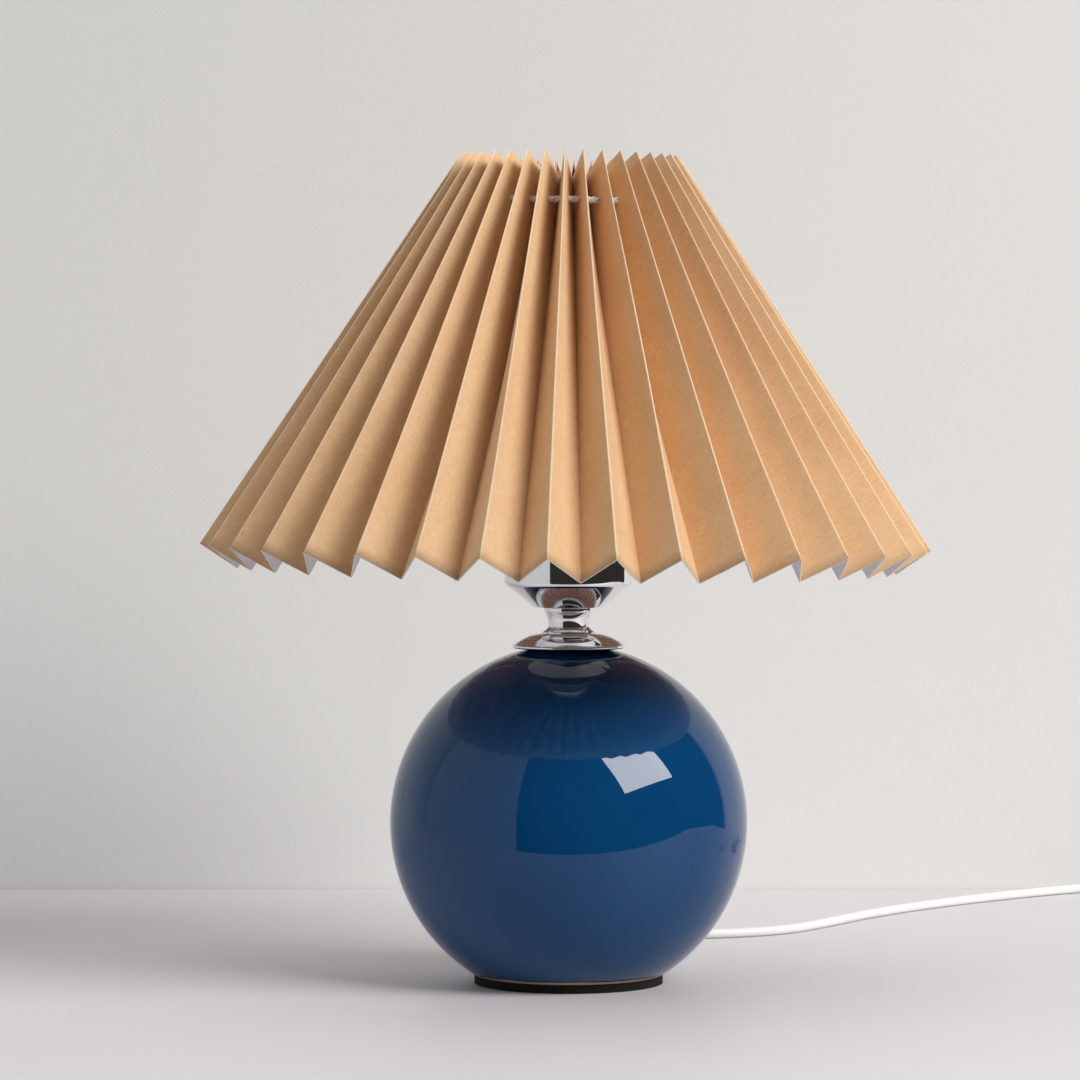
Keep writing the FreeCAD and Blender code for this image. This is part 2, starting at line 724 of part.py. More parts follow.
def cover_corners(outer_end, inner_end_point):
    """For each fold at one end of the strip: its corners on the outer and on the inner skin.

    A fold's hollow side has one corner, where the skins meet, and its other side has two, half a
    thickness off each panel, so that the crease is blunt. Where the folds close up, towards the
    top, the hollow corner stays within two thicknesses: the sheet is pressed thin there.
    """
    half = value("cover_thickness / 2")
    folds = 2 * PLEATS
    line = [fold_point(outer_end if i % 2 == 0 else inner_end_point, i) for i in range(folds)]
    slant = unit(Vector(SLOPE, 0, -1))
    rows = []
    for i in range(folds):
        here, before, after = line[i], line[i - 1], line[(i + 1) % folds]
        angle = math.atan2(here.y, here.x)
        fold = Vector(slant.x * math.cos(angle), slant.x * math.sin(angle), slant.z)
        outward = unit(Vector(math.cos(angle), math.sin(angle), 0) * -slant.z + Vector(0, 0, slant.x))
        side = [unit((near - here) - fold * fold.dot(near - here)) for near in (before, after)]
        opening = side[0].getAngle(side[1]) / 2
        way = 1 if i % 2 == 0 else -1
        depth = min(half / math.sin(opening), 2 * value("cover_thickness"))
        hollow = here - outward * (way * depth)
        blunt = []
        for arm in side:
            normal = unit(outward * way - arm * arm.dot(outward * way))
            blunt.append(here + normal * half)
        outer, inner = (blunt, [hollow]) if way > 0 else ([hollow], blunt)
        rows.append((outer, inner))
    return rows


def flat_faces(corners):
    """The triangle of three corners, or nothing where two of them meet."""
    a, b, c = corners
    return [Part.Face(Part.makePolygon([a, b, c, a]))] if (b - a).cross(c - a).Length > 1e-9 else []


def faceted_ring(radius, height, section_radius, sides, folds):
    """A ring of straight prisms that meet at the folds' angles, to cut holes with flat sides."""
    rows = []
    for i in range(folds):
        spot = fold_point((1, 0), i)
        rows.append([])
        for j in range(sides):
            turn = 2 * math.pi * j / sides
            reach = radius + section_radius * math.cos(turn)
            rows[i].append(Vector(spot.x * reach, spot.y * reach, height + section_radius * math.sin(turn)))
    faces = []
    for i in range(folds):
        here, there = rows[i - 1], rows[i]
        for j in range(sides):
            faces.append(Part.Face(Part.makePolygon([here[j - 1], here[j], there[j], there[j - 1], here[j - 1]])))
    return solid_of(faces)


def solid_of(faces):
    """The closed solid that these faces enclose."""
    shell = Part.makeShell(faces)
    shell.sewShape()
    solid = Part.makeSolid(shell)
    if solid.Volume < 0:
        solid.reverse()
    return solid


def make_cover():
    """The folded strip as a closed solid of flat facets, pierced by the string's holes.

    A panel twists a little from foot to top, so its skins are bands of two triangles each.
    """
    feet, tops = cover_corners(OUTER_FOOT, INNER_FOOT), cover_corners(OUTER_TOP, INNER_TOP)
    bands = int(value("cover_bands"))
    faces = []

    def skin(foot_a, top_a, foot_b, top_b):
        """The surface between two fold lines, in bands from foot to top."""
        side_a = [foot_a + (top_a - foot_a) * (k / bands) for k in range(bands + 1)]
        side_b = [foot_b + (top_b - foot_b) * (k / bands) for k in range(bands + 1)]
        for k in range(bands):
            faces.extend(flat_faces((side_a[k], side_b[k], side_b[k + 1])))
            faces.extend(flat_faces((side_a[k], side_b[k + 1], side_a[k + 1])))

    for i in range(2 * PLEATS):
        after = (i + 1) % (2 * PLEATS)
        for side in (0, 1):
            skin(feet[i][side][-1], tops[i][side][-1], feet[after][side][0], tops[after][side][0])
            if len(feet[i][side]) == 2:
                skin(feet[i][side][0], tops[i][side][0], feet[i][side][1], tops[i][side][1])
        for end in (feet, tops):
            outer, inner = end[i]
            if len(outer) == 2:
                faces.extend(flat_faces((outer[0], outer[1], inner[0])))
            else:
                faces.extend(flat_faces((inner[0], inner[1], outer[0])))
            faces.extend(flat_faces((outer[-1], end[after][0][0], inner[-1])))
            faces.extend(flat_faces((end[after][0][0], end[after][1][0], inner[-1])))
    solid = solid_of(faces)
    sides = int(value("string_hole_sides"))
    hole_radius = value("string_diameter / 2 + string_hole_gap") / math.cos(math.pi / sides)
    pierced = solid.cut(faceted_ring(STRING_RADIUS, value("string_height"), hole_radius, sides, 2 * PLEATS))
    print(f"pleated_cover: {solid.Volume:.0f} cubic mm, {pierced.Volume:.0f} once pierced, "
          f"{len(pierced.Solids)} solid, {len(pierced.Faces)} faces, valid {pierced.isValid()}")
    return pierced.Solids[0] if len(pierced.Solids) == 1 else pierced


STRING_RADIUS = (radius_at(OUTER_FOOT, OUTER_TOP, value("string_height"))
                 + radius_at(INNER_FOOT, INNER_TOP, value("string_height"))) / 2
pleated_cover = keep(formed("pleated_cover", make_cover()))
draw_string = bind(doc.addObject("Part::Torus", "draw_string"), Radius2="string_diameter / 2",
                   Placement__Base__z="string_height")
draw_string.Radius1 = STRING_RADIUS
keep(draw_string)

# ---------------------------------------------------------------------------------------------
# Wire carrier: a fitter ring clamped on the holder, three arms, and the hoop that the inner
# folds of the cover rest on
# ---------------------------------------------------------------------------------------------
fitter_ring = keep(ring("fitter_ring", "fitter_diameter / 2", "holder_thread_diameter / 2 + fitter_bore_gap",
                        "fitter_thickness", "fitter_foot"))
INNER_SLOPE = (INNER_FOOT[0] - INNER_TOP[0]) / (INNER_TOP[1] - INNER_FOOT[1])
HOOP_RADIUS = (radius_at(INNER_FOOT, INNER_TOP, value("hoop_height"))
               - value("wire_gauge / 2 + cover_gap + cover_thickness / 2") * math.sqrt(1 + INNER_SLOPE ** 2))
carrier_hoop = bind(doc.addObject("Part::Torus", "carrier_hoop"), Radius2="wire_gauge / 2",
                    Placement__Base__z="hoop_height")
carrier_hoop.Radius1 = HOOP_RADIUS
keep(carrier_hoop)


def carrier_arm(number):
    """One arm, welded to the fitter ring's rim below and to the hoop above."""
    angle = math.pi / 2 + 2 * math.pi * number / value("arm_count")
    route = [Vector(radius * math.cos(angle), radius * math.sin(angle), height) for radius, height in (
        (value("fitter_diameter / 2 - 0.5"), value("arm_level")),
        (value("arm_reach"), value("arm_level")),
        (HOOP_RADIUS, value("hoop_height")),
    )]
    name = f"carrier_arm_{number + 1}"
    return formed(name, swept(name, rounded_path(name, route), value("wire_gauge")))


carrier_arms = keep(group("carrier_arms", [carrier_arm(number) for number in range(int(value("arm_count")))]))

# ---------------------------------------------------------------------------------------------
# Bulb: tip, insulator, screw cap, opaque housing, LED board and opal dome
# ---------------------------------------------------------------------------------------------
bulb_tip = keep(cylinder("bulb_tip", "bulb_tip_diameter / 2", "bulb_tip_height", "bulb_foot"))
bulb_insulator = bind(doc.addObject("Part::Cone", "bulb_insulator"), Radius1="bulb_tip_diameter / 2 + 1",
                      Radius2="bulb_cap_diameter / 2 - 1.5", Height="bulb_insulator_height",
                      Placement__Base__z="bulb_foot + bulb_tip_height")
keep(bulb_insulator)
bulb_cap = keep(turned("bulb_cap", [
    ("0", "bulb_cap_foot"),
    ("bulb_cap_diameter / 2 - 1.5", "bulb_cap_foot"),
    ("bulb_cap_diameter / 2", "bulb_cap_foot + 1.5"),
    ("bulb_cap_diameter / 2", "bulb_cap_top"),
    ("bulb_cap_diameter / 2 - 1", "bulb_cap_top"),
    ("bulb_cap_diameter / 2 - 1", "bulb_cap_foot + 1"),
    ("0", "bulb_cap_foot + 1"),
]))
bulb_housing = keep(turned("bulb_housing", [
    ("bulb_neck_diameter / 2 - bulb_wall - 1", "bulb_cap_top"),
    ("bulb_neck_diameter / 2", "bulb_cap_top"),
    ("bulb_neck_diameter / 2 + 0.6", "bulb_cap_top + 4", "90"),
    ("bulb_seam_radius", "bulb_seam"),
    ("bulb_seam_radius - bulb_wall", "bulb_seam"),
    ("bulb_neck_diameter / 2 - bulb_wall", "bulb_cap_top + 4"),
]))
led_board = keep(cylinder("led_board", "bulb_seam_radius - bulb_wall - 0.2", "led_board_thickness", "bulb_seam"))
bulb_dome = keep(turned("bulb_dome", [
    ("bulb_seam_radius", "bulb_seam", "bulb_diameter / 2"),
    ("0", "bulb_centre + bulb_diameter / 2"),
    ("0", "bulb_centre + bulb_diameter / 2 - bulb_wall", "-(bulb_diameter / 2 - bulb_wall)"),
    ("sqrt((bulb_diameter / 2 - bulb_wall)^2 - (bulb_centre - bulb_seam)^2)", "bulb_seam"),
]))

# ---------------------------------------------------------------------------------------------
# Flex inside the lamp: from the strain relief through the port and up the tube, then two wires
# ---------------------------------------------------------------------------------------------
FLEX = value("flex_diameter")
strain_relief = turned("strain_relief", [
    ("flex_diameter / 2 + 0.05", "relief_start"),
    ("relief_diameter / 2", "relief_start"),
    ("relief_diameter / 2", "relief_face + 2"),
    ("relief_tail_diameter / 2", "relief_end - 0.6"),
    ("relief_tail_diameter / 2 - 0.6", "relief_end"),
    ("flex_diameter / 2 + 0.05", "relief_end"),
])
strain_relief.Placement = Placement(Vector(0, 0, 0), Rotation(Vector(1, 0, 0), -90))
keep(bind(strain_relief, Placement__Base__z="relief_height"))


def inner_flex_path():
    """Level from the end face of the flex outside, then one bend up into the tube."""
    level, bend = value("relief_height"), value("flex_bend")
    start = Vector(0, value("relief_end"), level)
    turn_in = Vector(0, bend, level)
    turn_out = Vector(0, 0, level + bend)
    middle = Vector(0, bend * (1 - math.sin(math.pi / 4)), level + bend * (1 - math.cos(math.pi / 4)))
    top = Vector(0, 0, value("rod_top") + 1)
    return Part.Wire([
        Part.LineSegment(start, turn_in).toShape(),
        Part.Arc(turn_in, middle, turn_out).toShape(),
        Part.LineSegment(turn_out, top).toShape(),
    ])


flex_in_tube = keep(formed("flex_in_tube", swept("flex_in_tube", inner_flex_path(), FLEX)))


def terminal_wire(name, side):
    """A single insulated wire from the flex's end to its terminal screw."""
    spread = value("terminal_spacing") / 2
    foot, head = value("rod_top") + 1, value("holder_seam - terminal_head_height")
    rise = head - foot
    points = [
        Vector(side * FLEX / 4, 0, foot),
        Vector(side * FLEX / 4, 0, foot + rise * 0.3),
        Vector(side * spread, 0, foot + rise * 0.7),
        Vector(side * spread, 0, head),
    ]
    return formed(name, swept(name, rounded_path(name, points), value("wire_diameter")))


live_wire = keep(terminal_wire("live_wire", -1))
neutral_wire = keep(terminal_wire("neutral_wire", 1))

# ---------------------------------------------------------------------------------------------
# Flex outside the lamp. The route is chosen by hand: out of the strain relief, down to the
# table, right and back in a loose bend, then round to the switch, the coil and the plug.
# ---------------------------------------------------------------------------------------------
LEVEL = value("flex_level")
SWITCH_LEVEL = value("switch_flex_level")
EXIT = Vector(0, value("relief_end"), value("relief_height"))
SWITCH_X = 328.0
SWITCH_TOP_Y = 300.0
ROUTE_TO_SWITCH = [
    EXIT,
    EXIT + Vector(0, 14, 0),
    Vector(1, 113, 8),
    Vector(8, 131, LEVEL),
    Vector(24, 145, LEVEL),
    Vector(48, 153, LEVEL),
    Vector(77, 158, LEVEL),
    Vector(101, 172, LEVEL),
    Vector(119, 197, LEVEL),
    Vector(139, 231, LEVEL),
    Vector(165, 266, LEVEL),
    Vector(196, 299, LEVEL),
    Vector(228, 328, LEVEL),
    Vector(258, 351, LEVEL),
    Vector(281, 361, LEVEL),
    Vector(304, 358, LEVEL),
    Vector(321, 343, LEVEL),
    Vector(SWITCH_X, 321, SWITCH_LEVEL),
    Vector(SWITCH_X, SWITCH_TOP_Y, SWITCH_LEVEL),
]
SWITCH_FOOT_Y = SWITCH_TOP_Y - value("switch_length")
flex_to_switch = keep(formed("flex_to_switch", swept(
    "flex_to_switch", rounded_path("flex_to_switch", ROUTE_TO_SWITCH), FLEX)))


# ---------------------------------------------------------------------------------------------
# Switch on the flex: two housings, a rocker on its pin, contacts, wires and screws. It is drawn
# along X and then turned so that it lies along Y.
# ---------------------------------------------------------------------------------------------
SWITCH_PLACE = Placement(Vector(SWITCH_X, (SWITCH_TOP_Y + SWITCH_FOOT_Y) / 2, 0), Rotation(Vector(0, 0, 1), 90))


def in_switch(piece):
    """Lay a piece of the switch where the switch lies."""
    piece.Placement = SWITCH_PLACE.multiply(piece.Placement)
    return keep(piece)


def rounded_rectangle(length, width, corner):
    """Corners of a rectangle about the origin whose own corners are arcs."""
    half_length, half_width = f"({length}) / 2", f"({width}) / 2"
    return [
        (f"{half_length} - ({corner})", f"-({half_width})", corner),
        (half_length, f"-({half_width}) + ({corner})"),
        (half_length, f"{half_width} - ({corner})", corner),
        (f"{half_length} - ({corner})", half_width),
        (f"-({half_length}) + ({corner})", half_width, corner),
        (f"-({half_length})", f"{half_width} - ({corner})"),
        (f"-({half_length})", f"-({half_width}) + ({corner})", corner),
        (f"-({half_length}) + ({corner})", f"-({half_width})"),
    ]


def tray(label, foot, height, hollow_foot, hollow_height):
    """A rounded box with a rounded hollow in it."""
    body = doc.addObject("PartDesign::Body", label)
    block = body.newObject("PartDesign::Pad", label + "_block")
    block.Profile = outline(body, "XY_Plane", label + "_edge",
                            rounded_rectangle("switch_length", "switch_width", "switch_corner"), foot)
    bind(block, Length=height)
    doc.recompute()
    solid = body.Shape.Volume
    hollow = body.newObject("PartDesign::Pocket", label + "_hollow")
    hollow.Profile = outline(body, "XY_Plane", label + "_hollow_edge", rounded_rectangle(
        "switch_length - 2 * switch_wall", "switch_width - 2 * switch_wall", "switch_corner - switch_wall"),
        hollow_foot)
    hollow.Reversed = True
    bind(hollow, Length=hollow_height)
    doc.recompute()
    print(f"{label}: {solid:.0f} cubic mm solid, {body.Shape.Volume:.0f} hollowed")
    return body


def bar_along_x(label, radius, length, height, across="0", start=None):
    """A round bar along X, at a height and a distance across."""
    bar = bind(doc.addObject("Part::Cylinder", label), Radius=radius, Height=length)
    bar.Placement.Rotation = Rotation(Vector(0, 1, 0), 90)
    return bind(bar, Placement__Base__x=start or f"-({length}) / 2", Placement__Base__y=across,
                Placement__Base__z=height)


def bar_along_y(label, radius, length, height):
    """A round bar along Y, centred on the XZ plane."""
    bar = bind(doc.addObject("Part::Cylinder", label), Radius=radius, Height=length)
    bar.Placement.Rotation = Rotation(Vector(1, 0, 0), -90)
    return bind(bar, Placement__Base__y=f"-({length}) / 2", Placement__Base__z=height)


def at(piece, x, y):
    """Move a piece in plan."""
    return bind(piece, Placement__Base__x=x, Placement__Base__y=y)


def fuse(label, pieces):
    whole = doc.addObject("Part::MultiFuse", label)
    whole.Shapes = pieces
    return whole


POST_SPOTS = (("a", "switch_screw_spacing / 2", "switch_width / 4"),
              ("b", "-switch_screw_spacing / 2", "-switch_width / 4"))
POST_RADIUS = "switch_screw_diameter / 2 + 1.2"
SCREW_RADIUS = "switch_screw_diameter / 2"
PIN_LENGTH = "rocker_width + 2 * rocker_gap + 3"


def make_switch_base():
    shell = tray("switch_base_tray", "0", "switch_seam", "switch_wall", "switch_seam")
    posts = [at(cylinder(f"base_post_{n}", POST_RADIUS, "switch_seam - 0.5", "0.5"), x, y) for n, x, y in POST_SPOTS]
    holes = [at(cylinder(f"base_screw_hole_{n}", f"{SCREW_RADIUS} + 0.05", "switch_seam + 2", "-1"), x, y)
             for n, x, y in POST_SPOTS]
    sinks = [at(cylinder(f"base_head_hole_{n}", f"{SCREW_RADIUS} + 1", "2.5", "-0.5"), x, y) for n, x, y in POST_SPOTS]
    entry = bar_along_x("base_flex_hole", "flex_diameter / 2 + 0.05", "switch_length + 2",
                        "switch_flex_level")
    return cut("switch_base", fuse("switch_base_blank", [shell] + posts),
               group("switch_base_holes", holes + sinks + [entry]))


def make_switch_cover():
    shell = tray("switch_cover_tray", "switch_seam", "switch_cover_height", "switch_seam",
                 "switch_cover_height - switch_wall")
    roof = "switch_top - switch_wall"
    posts = [at(cylinder(f"cover_post_{n}", POST_RADIUS, f"{roof} + 0.5 - switch_seam", "switch_seam"), x, y)
             for n, x, y in POST_SPOTS]
    cheeks = [bind(doc.addObject("Part::Box", f"cover_cheek_{n}"), Length="8", Width="2",
                   Height=f"{roof} + 0.5 - (rocker_axis - 2.5)", Placement__Base__x="-4", Placement__Base__y=y,
                   Placement__Base__z="rocker_axis - 2.5")
              for n, y in (("near", "rocker_width / 2 + rocker_gap"), ("far", "-rocker_width / 2 - rocker_gap - 2"))]
    holes = [at(cylinder(f"cover_screw_hole_{n}", f"{SCREW_RADIUS} + 0.05", "5", "switch_seam - 0.5"), x, y)
             for n, x, y in POST_SPOTS]
    window = bind(doc.addObject("Part::Box", "rocker_window"), Length="2 * rocker_radius",
                  Width="rocker_width + 2 * rocker_gap", Height="switch_wall + 2",
                  Placement__Base__x="-rocker_radius", Placement__Base__y="-rocker_width / 2 - rocker_gap",
                  Placement__Base__z=f"{roof} - 1")
    pin_hole = bar_along_y("cover_pin_hole", "pivot_diameter / 2 + 0.02", PIN_LENGTH, "rocker_axis")
    return cut("switch_cover", fuse("switch_cover_blank", [shell] + posts + cheeks),
               group("switch_cover_holes", holes + [window, pin_hole]))


def make_rocker():
    """The rocker in its middle position: a shallow V on top and round ends about its pin."""
    rise = "(switch_top + 0.3 - rocker_axis)"
    lean = "tan(rocker_tilt)"
    reach = (f"(-{rise} * {lean} + sqrt(({rise} * {lean})^2 - (1 + {lean}^2) * ({rise}^2 - rocker_radius^2)))"
             f" / (1 + {lean}^2)")
    end = f"rocker_axis + {rise} + {lean} * ({reach})"
    under = "sqrt(rocker_radius^2 - 3^2)"
    body = doc.addObject("PartDesign::Body", "rocker_blank")
    pad = body.newObject("PartDesign::Pad", "rocker_block")
    pad.Profile = outline(body, "XZ_Plane", "rocker_section", [
        ("0", f"rocker_axis + {rise}"),
        (f"-({reach})", end, "rocker_radius"),
        (f"-{under}", "rocker_axis - 3"),
        (under, "rocker_axis - 3", "rocker_radius"),
        (reach, end),
    ])
    pad.SideType = "Symmetric"
    bind(pad, Length="rocker_width")
    doc.recompute()
    pin_hole = bar_along_y("rocker_pin_hole", "pivot_diameter / 2 + pivot_gap", "rocker_width + 2", "rocker_axis")
    rocker = cut("switch_rocker", body, pin_hole)
    doc.recompute()
    rocker.Placement = Placement(Vector(0, 0, 0), Rotation(Vector(0, 1, 0), value("rocker_tilt")),
                                 Vector(0, 0, value("rocker_axis")))
    return rocker


def make_pivot():
    return group("rocker_pin", [bar_along_y("pivot_bar", "pivot_diameter / 2", PIN_LENGTH, "rocker_axis")])


def switch_screw(name, x, y):
    shank = cylinder(f"switch_shank_{name}", SCREW_RADIUS, "switch_seam + 2", "1")
    head = cylinder(f"switch_head_{name}", f"{SCREW_RADIUS} + 0.9", "1.5", "0.5")
    return at(fuse(f"switch_screw_{name}", [shank, head]), x, y)


def contact_strip(name, side):
    """A brass strip on the tray's floor that a wire ends on."""
    return bind(doc.addObject("Part::Box", f"contact_strip_{name}"), Length="12", Width="5",
                Height="switch_flex_level - switch_wire_diameter / 2 - switch_wall",
                Placement__Base__x=f"{side} * 11 - 6", Placement__Base__y="0.5",
                Placement__Base__z="switch_wall")


WIRE_ROOM = "switch_length / 2"
WIRE_RADIUS = "switch_wire_diameter / 2"
WIRE_SIDE = "switch_wire_spacing / 2"
switch_base = in_switch(make_switch_base())
switch_cover = in_switch(make_switch_cover())
switch_rocker = in_switch(make_rocker())
rocker_pin = in_switch(make_pivot())
switch_screws = in_switch(group("switch_screws", [switch_screw(*spot) for spot in POST_SPOTS]))
switch_contacts = in_switch(group("switch_contacts", [contact_strip("in", 1), contact_strip("out", -1)]))
switch_wires = in_switch(group("switch_wires", [
    bar_along_x("neutral_through", WIRE_RADIUS, f"2 * {WIRE_ROOM}", "switch_flex_level", f"-{WIRE_SIDE}"),
    bar_along_x("live_in", WIRE_RADIUS, f"{WIRE_ROOM} - 12", "switch_flex_level", WIRE_SIDE, "12"),
    bar_along_x("live_out", WIRE_RADIUS, f"{WIRE_ROOM} - 12", "switch_flex_level", WIRE_SIDE, f"-{WIRE_ROOM}"),
]))

# ---------------------------------------------------------------------------------------------
# Put-away flex: a neat coil in four layers that spirals in and out at a steady rate, with the
# flex from the switch running into its foot and the flex to the plug leaving its top. A strap
# of soft PVC ties the turns together, and the coil's lowest turn lies on it.
# ---------------------------------------------------------------------------------------------
COIL_Y = 198.0
TURNS = int(value("coil_turns_per_layer"))
LAYERS = int(value("coil_layers"))
COIL_LEVEL = value("coil_level")
COIL_OUTER = value("coil_mean_radius") + TURNS * value("coil_pitch") / 2
COIL_CENTRE = Vector(SWITCH_X - COIL_OUTER, COIL_Y, 0)


def coil_point(turn):
    """Where the flex is after a number of turns: it starts heading -Y and winds clockwise."""
    layer = min(int(turn // TURNS), LAYERS - 1)
    within = turn - layer * TURNS
    inwards = within if layer % 2 == 0 else TURNS - within
    radius = COIL_OUTER - inwards * value("coil_pitch")
    climbed = sum(min(max((turn - TURNS * k + 0.25) / 0.5, 0), 1) for k in range(1, LAYERS))
    angle = -2 * math.pi * turn
    return COIL_CENTRE + Vector(radius * math.cos(angle), radius * math.sin(angle),
                                COIL_LEVEL + climbed * value("coil_layer_height"))


def coil_heading(turn):
    """Direction of the flex there; the corners of the spiral and of the climb are evened out."""
    if turn in (0, TURNS * LAYERS):
        return Vector(0, -1, 0)
    return unit(coil_point(turn + 0.02) - coil_point(turn - 0.02))


def arc_from(start, heading, end):
    """The arc that leaves start along heading and reaches end."""
    chord = end - start
    side = chord - heading * heading.dot(chord)
    if side.Length < 1e-7:
        return Part.LineSegment(start, end).toShape()
    normal = unit(side)
    radius = chord.Length ** 2 / (2 * chord.dot(normal))
    centre = start + normal * radius
    crown = centre + unit((start + end) * 0.5 - centre) * radius
    return Part.Arc(start, crown, end).toShape()


def biarc(start, heading, end, last_heading):
    """Two tangent arcs between two points with given directions."""
    chord = end - start
    both = heading + last_heading
    spread = 2 * (1 - heading.dot(last_heading))
    reach = (-chord.dot(both) + math.sqrt(chord.dot(both) ** 2 + spread * chord.dot(chord))) / spread
    joint = (start + heading * reach + end - last_heading * reach) * 0.5
    second = arc_from(end, last_heading * -1, joint)
    return [arc_from(start, heading, joint), second]


def coil_path():
    quarters = [quarter / 4 for quarter in range(4 * TURNS * LAYERS + 1)]
    edges = []
    for here, after in zip(quarters, quarters[1:]):
        edges += biarc(coil_point(here), coil_heading(here), coil_point(after), coil_heading(after))
    return Part.Wire(Part.__sortEdges__(edges))


def least_gap(path, diameter):
    """The smallest gap between parts of the path at least a third of a turn apart."""
    points = path.discretize(Number=int(path.Length / 1.5))
    skip = int(2 * math.pi * value("coil_mean_radius") / 3 / 1.5)
    gaps = [points[i].distanceToPoint(points[j]) for i in range(len(points)) for j in range(i + skip, len(points))]
    return min(gaps) - diameter


coil_route = coil_path()
print(f"flex_coil: {coil_route.Length:.1f} mm long, {TURNS * LAYERS} turns, "
      f"least gap to itself {least_gap(coil_route, FLEX):.2f} mm")
flex_coil = keep(formed("flex_coil", swept("flex_coil", coil_route, FLEX)))

COIL_START, COIL_END = coil_point(0), coil_point(TURNS * LAYERS)
ROUTE_TO_COIL = [
    Vector(SWITCH_X, SWITCH_FOOT_Y, SWITCH_LEVEL),
    Vector(SWITCH_X, SWITCH_FOOT_Y - 14, SWITCH_LEVEL),
    Vector(SWITCH_X, SWITCH_FOOT_Y - 29, COIL_LEVEL),
    COIL_START,
]
flex_to_coil = keep(formed("flex_to_coil", swept(
    "flex_to_coil", rounded_path("flex_to_coil", ROUTE_TO_COIL), FLEX)))


def make_coil_tie():
    """A closed band round the coil's section, half a turn from where the flex comes and goes."""
    across = "(coil_turns_per_layer - 1) * coil_pitch + flex_diameter + 2 * tie_gap"
    up = "(coil_layers - 1) * coil_layer_height + flex_diameter + 2 * tie_gap"
    pads = []
    for name, extra, width in (("tie_outside", "2 * tie_thickness", "tie_width"), ("tie_inside", "0", "tie_width * 2")):
        body = doc.addObject("PartDesign::Body", name)
        pad = body.newObject("PartDesign::Pad", name + "_pad")
        pad.Profile = outline(body, "XZ_Plane", name + "_section", rounded_rectangle(
            f"{across} + {extra}", f"{up} + {extra}", f"tie_gap + flex_diameter / 4 + {extra} / 2"))
        pad.SideType = "Symmetric"
        bind(pad, Length=width)
        pads.append(body)
    doc.recompute()
    tie = cut("coil_tie", *pads)
    tie.Placement = Placement(COIL_CENTRE + Vector(
        -value("coil_mean_radius"), 0, COIL_LEVEL + value("(coil_layers - 1) * coil_layer_height / 2")), Rotation())
    return tie


coil_tie = keep(make_coil_tie())

PLUG_Y = 118.0
PLUG_LEVEL = value("plug_height / 2")
ROUTE_TO_PLUG = [
    COIL_END,
    COIL_END + Vector(0, -20, 0),
    Vector(SWITCH_X + 2, PLUG_Y + 40, PLUG_LEVEL + 3),
    Vector(SWITCH_X, PLUG_Y + 20, PLUG_LEVEL),
    Vector(SWITCH_X, PLUG_Y, PLUG_LEVEL),
]
flex_to_plug = keep(formed("flex_to_plug", swept(
    "flex_to_plug", rounded_path("flex_to_plug", ROUTE_TO_PLUG), FLEX)))

# ---------------------------------------------------------------------------------------------
# Plug: a flat moulded body and two round pins, sleeved but for their tips, drawn along Z and
# laid along -Y
# ---------------------------------------------------------------------------------------------
PLUG_PLACE = Placement(Vector(SWITCH_X, PLUG_Y, PLUG_LEVEL), Rotation(Vector(1, 0, 0), 90))


def plug_pin(name):
    """A round pin: a thin shank in the body and the sleeve, then the contact with a rounded end."""
    return turned(name, [
        ("0", "plug_length - pin_root"),
        ("pin_shank_diameter / 2", "plug_length - pin_root"),
        ("pin_shank_diameter / 2", "plug_length + pin_length - pin_tip_length"),
        ("pin_diameter / 2", "plug_length + pin_length - pin_tip_length"),
        ("pin_diameter / 2", "plug_length + pin_length - pin_round", "pin_round"),
        ("pin_diameter / 2 - pin_round", "plug_length + pin_length"),
        ("0", "plug_length + pin_length"),
    ])


def pin_sleeve(name):
    """The insulating sleeve on a pin's shank."""
    return ring(name, "pin_sleeve_diameter / 2", "pin_shank_diameter / 2 + pin_fit_gap", "pin_length - pin_tip_length",
                "plug_length")


def pin_socket(name):
    """The hole that a pin's root fills in the body."""
    return cylinder(name, "pin_shank_diameter / 2 + pin_fit_gap", "pin_root * 2", "plug_length - pin_root")


def pair(name, make):
    """Two of a piece, one for each pin."""
    return group(name, [bind(make(f"{name}_{letter}"), Placement__Base__x=f"{side} * pin_spacing / 2")
                        for letter, side in (("a", -1), ("b", 1))])


def ruled_loft(body, kind, name, first, second):
    """A loft with straight sides between two sketches."""
    loft = body.newObject(f"PartDesign::{kind}Loft", name)
    loft.Profile = first
    loft.Sections = [second]
    loft.Ruled = True
    doc.recompute()
    return loft


def make_plug_body():
    body = doc.addObject("PartDesign::Body", "plug_blank")
    tail = outline(body, "XY_Plane", "plug_tail", rounded_rectangle(
        "plug_tail_diameter", "plug_tail_diameter", "plug_tail_diameter / 3"), "0")
    neck = outline(body, "XY_Plane", "plug_neck", rounded_rectangle(
        "plug_width", "plug_height", "plug_height / 2.4"), "plug_length - plug_face_length")
    ruled_loft(body, "Additive", "plug_taper", tail, neck)
    face = body.newObject("PartDesign::Pad", "plug_face")
    face.Profile = neck
    bind(face, Length="plug_face_length")
    doc.recompute()
    return cut("plug_body", body, pair("pin_sockets", pin_socket))


for piece in (make_plug_body(), pair("plug_pins", plug_pin), pair("pin_sleeves", pin_sleeve)):
    piece.Placement = PLUG_PLACE
    keep(piece)

# ---------------------------------------------------------------------------------------------
# Check every object, then write one STEP file for each sub-part
# ---------------------------------------------------------------------------------------------
doc.recompute()
failed = [item.Label for item in doc.Objects if {"Invalid", "Error"} & set(item.State)]
if failed:
    raise SystemExit(f"not made: {failed}")
for piece in PARTS:
    if piece.Shape.isNull() or not piece.Shape.isValid() or not piece.Shape.Solids:
        raise SystemExit(f"bad shape: {piece.Label}")

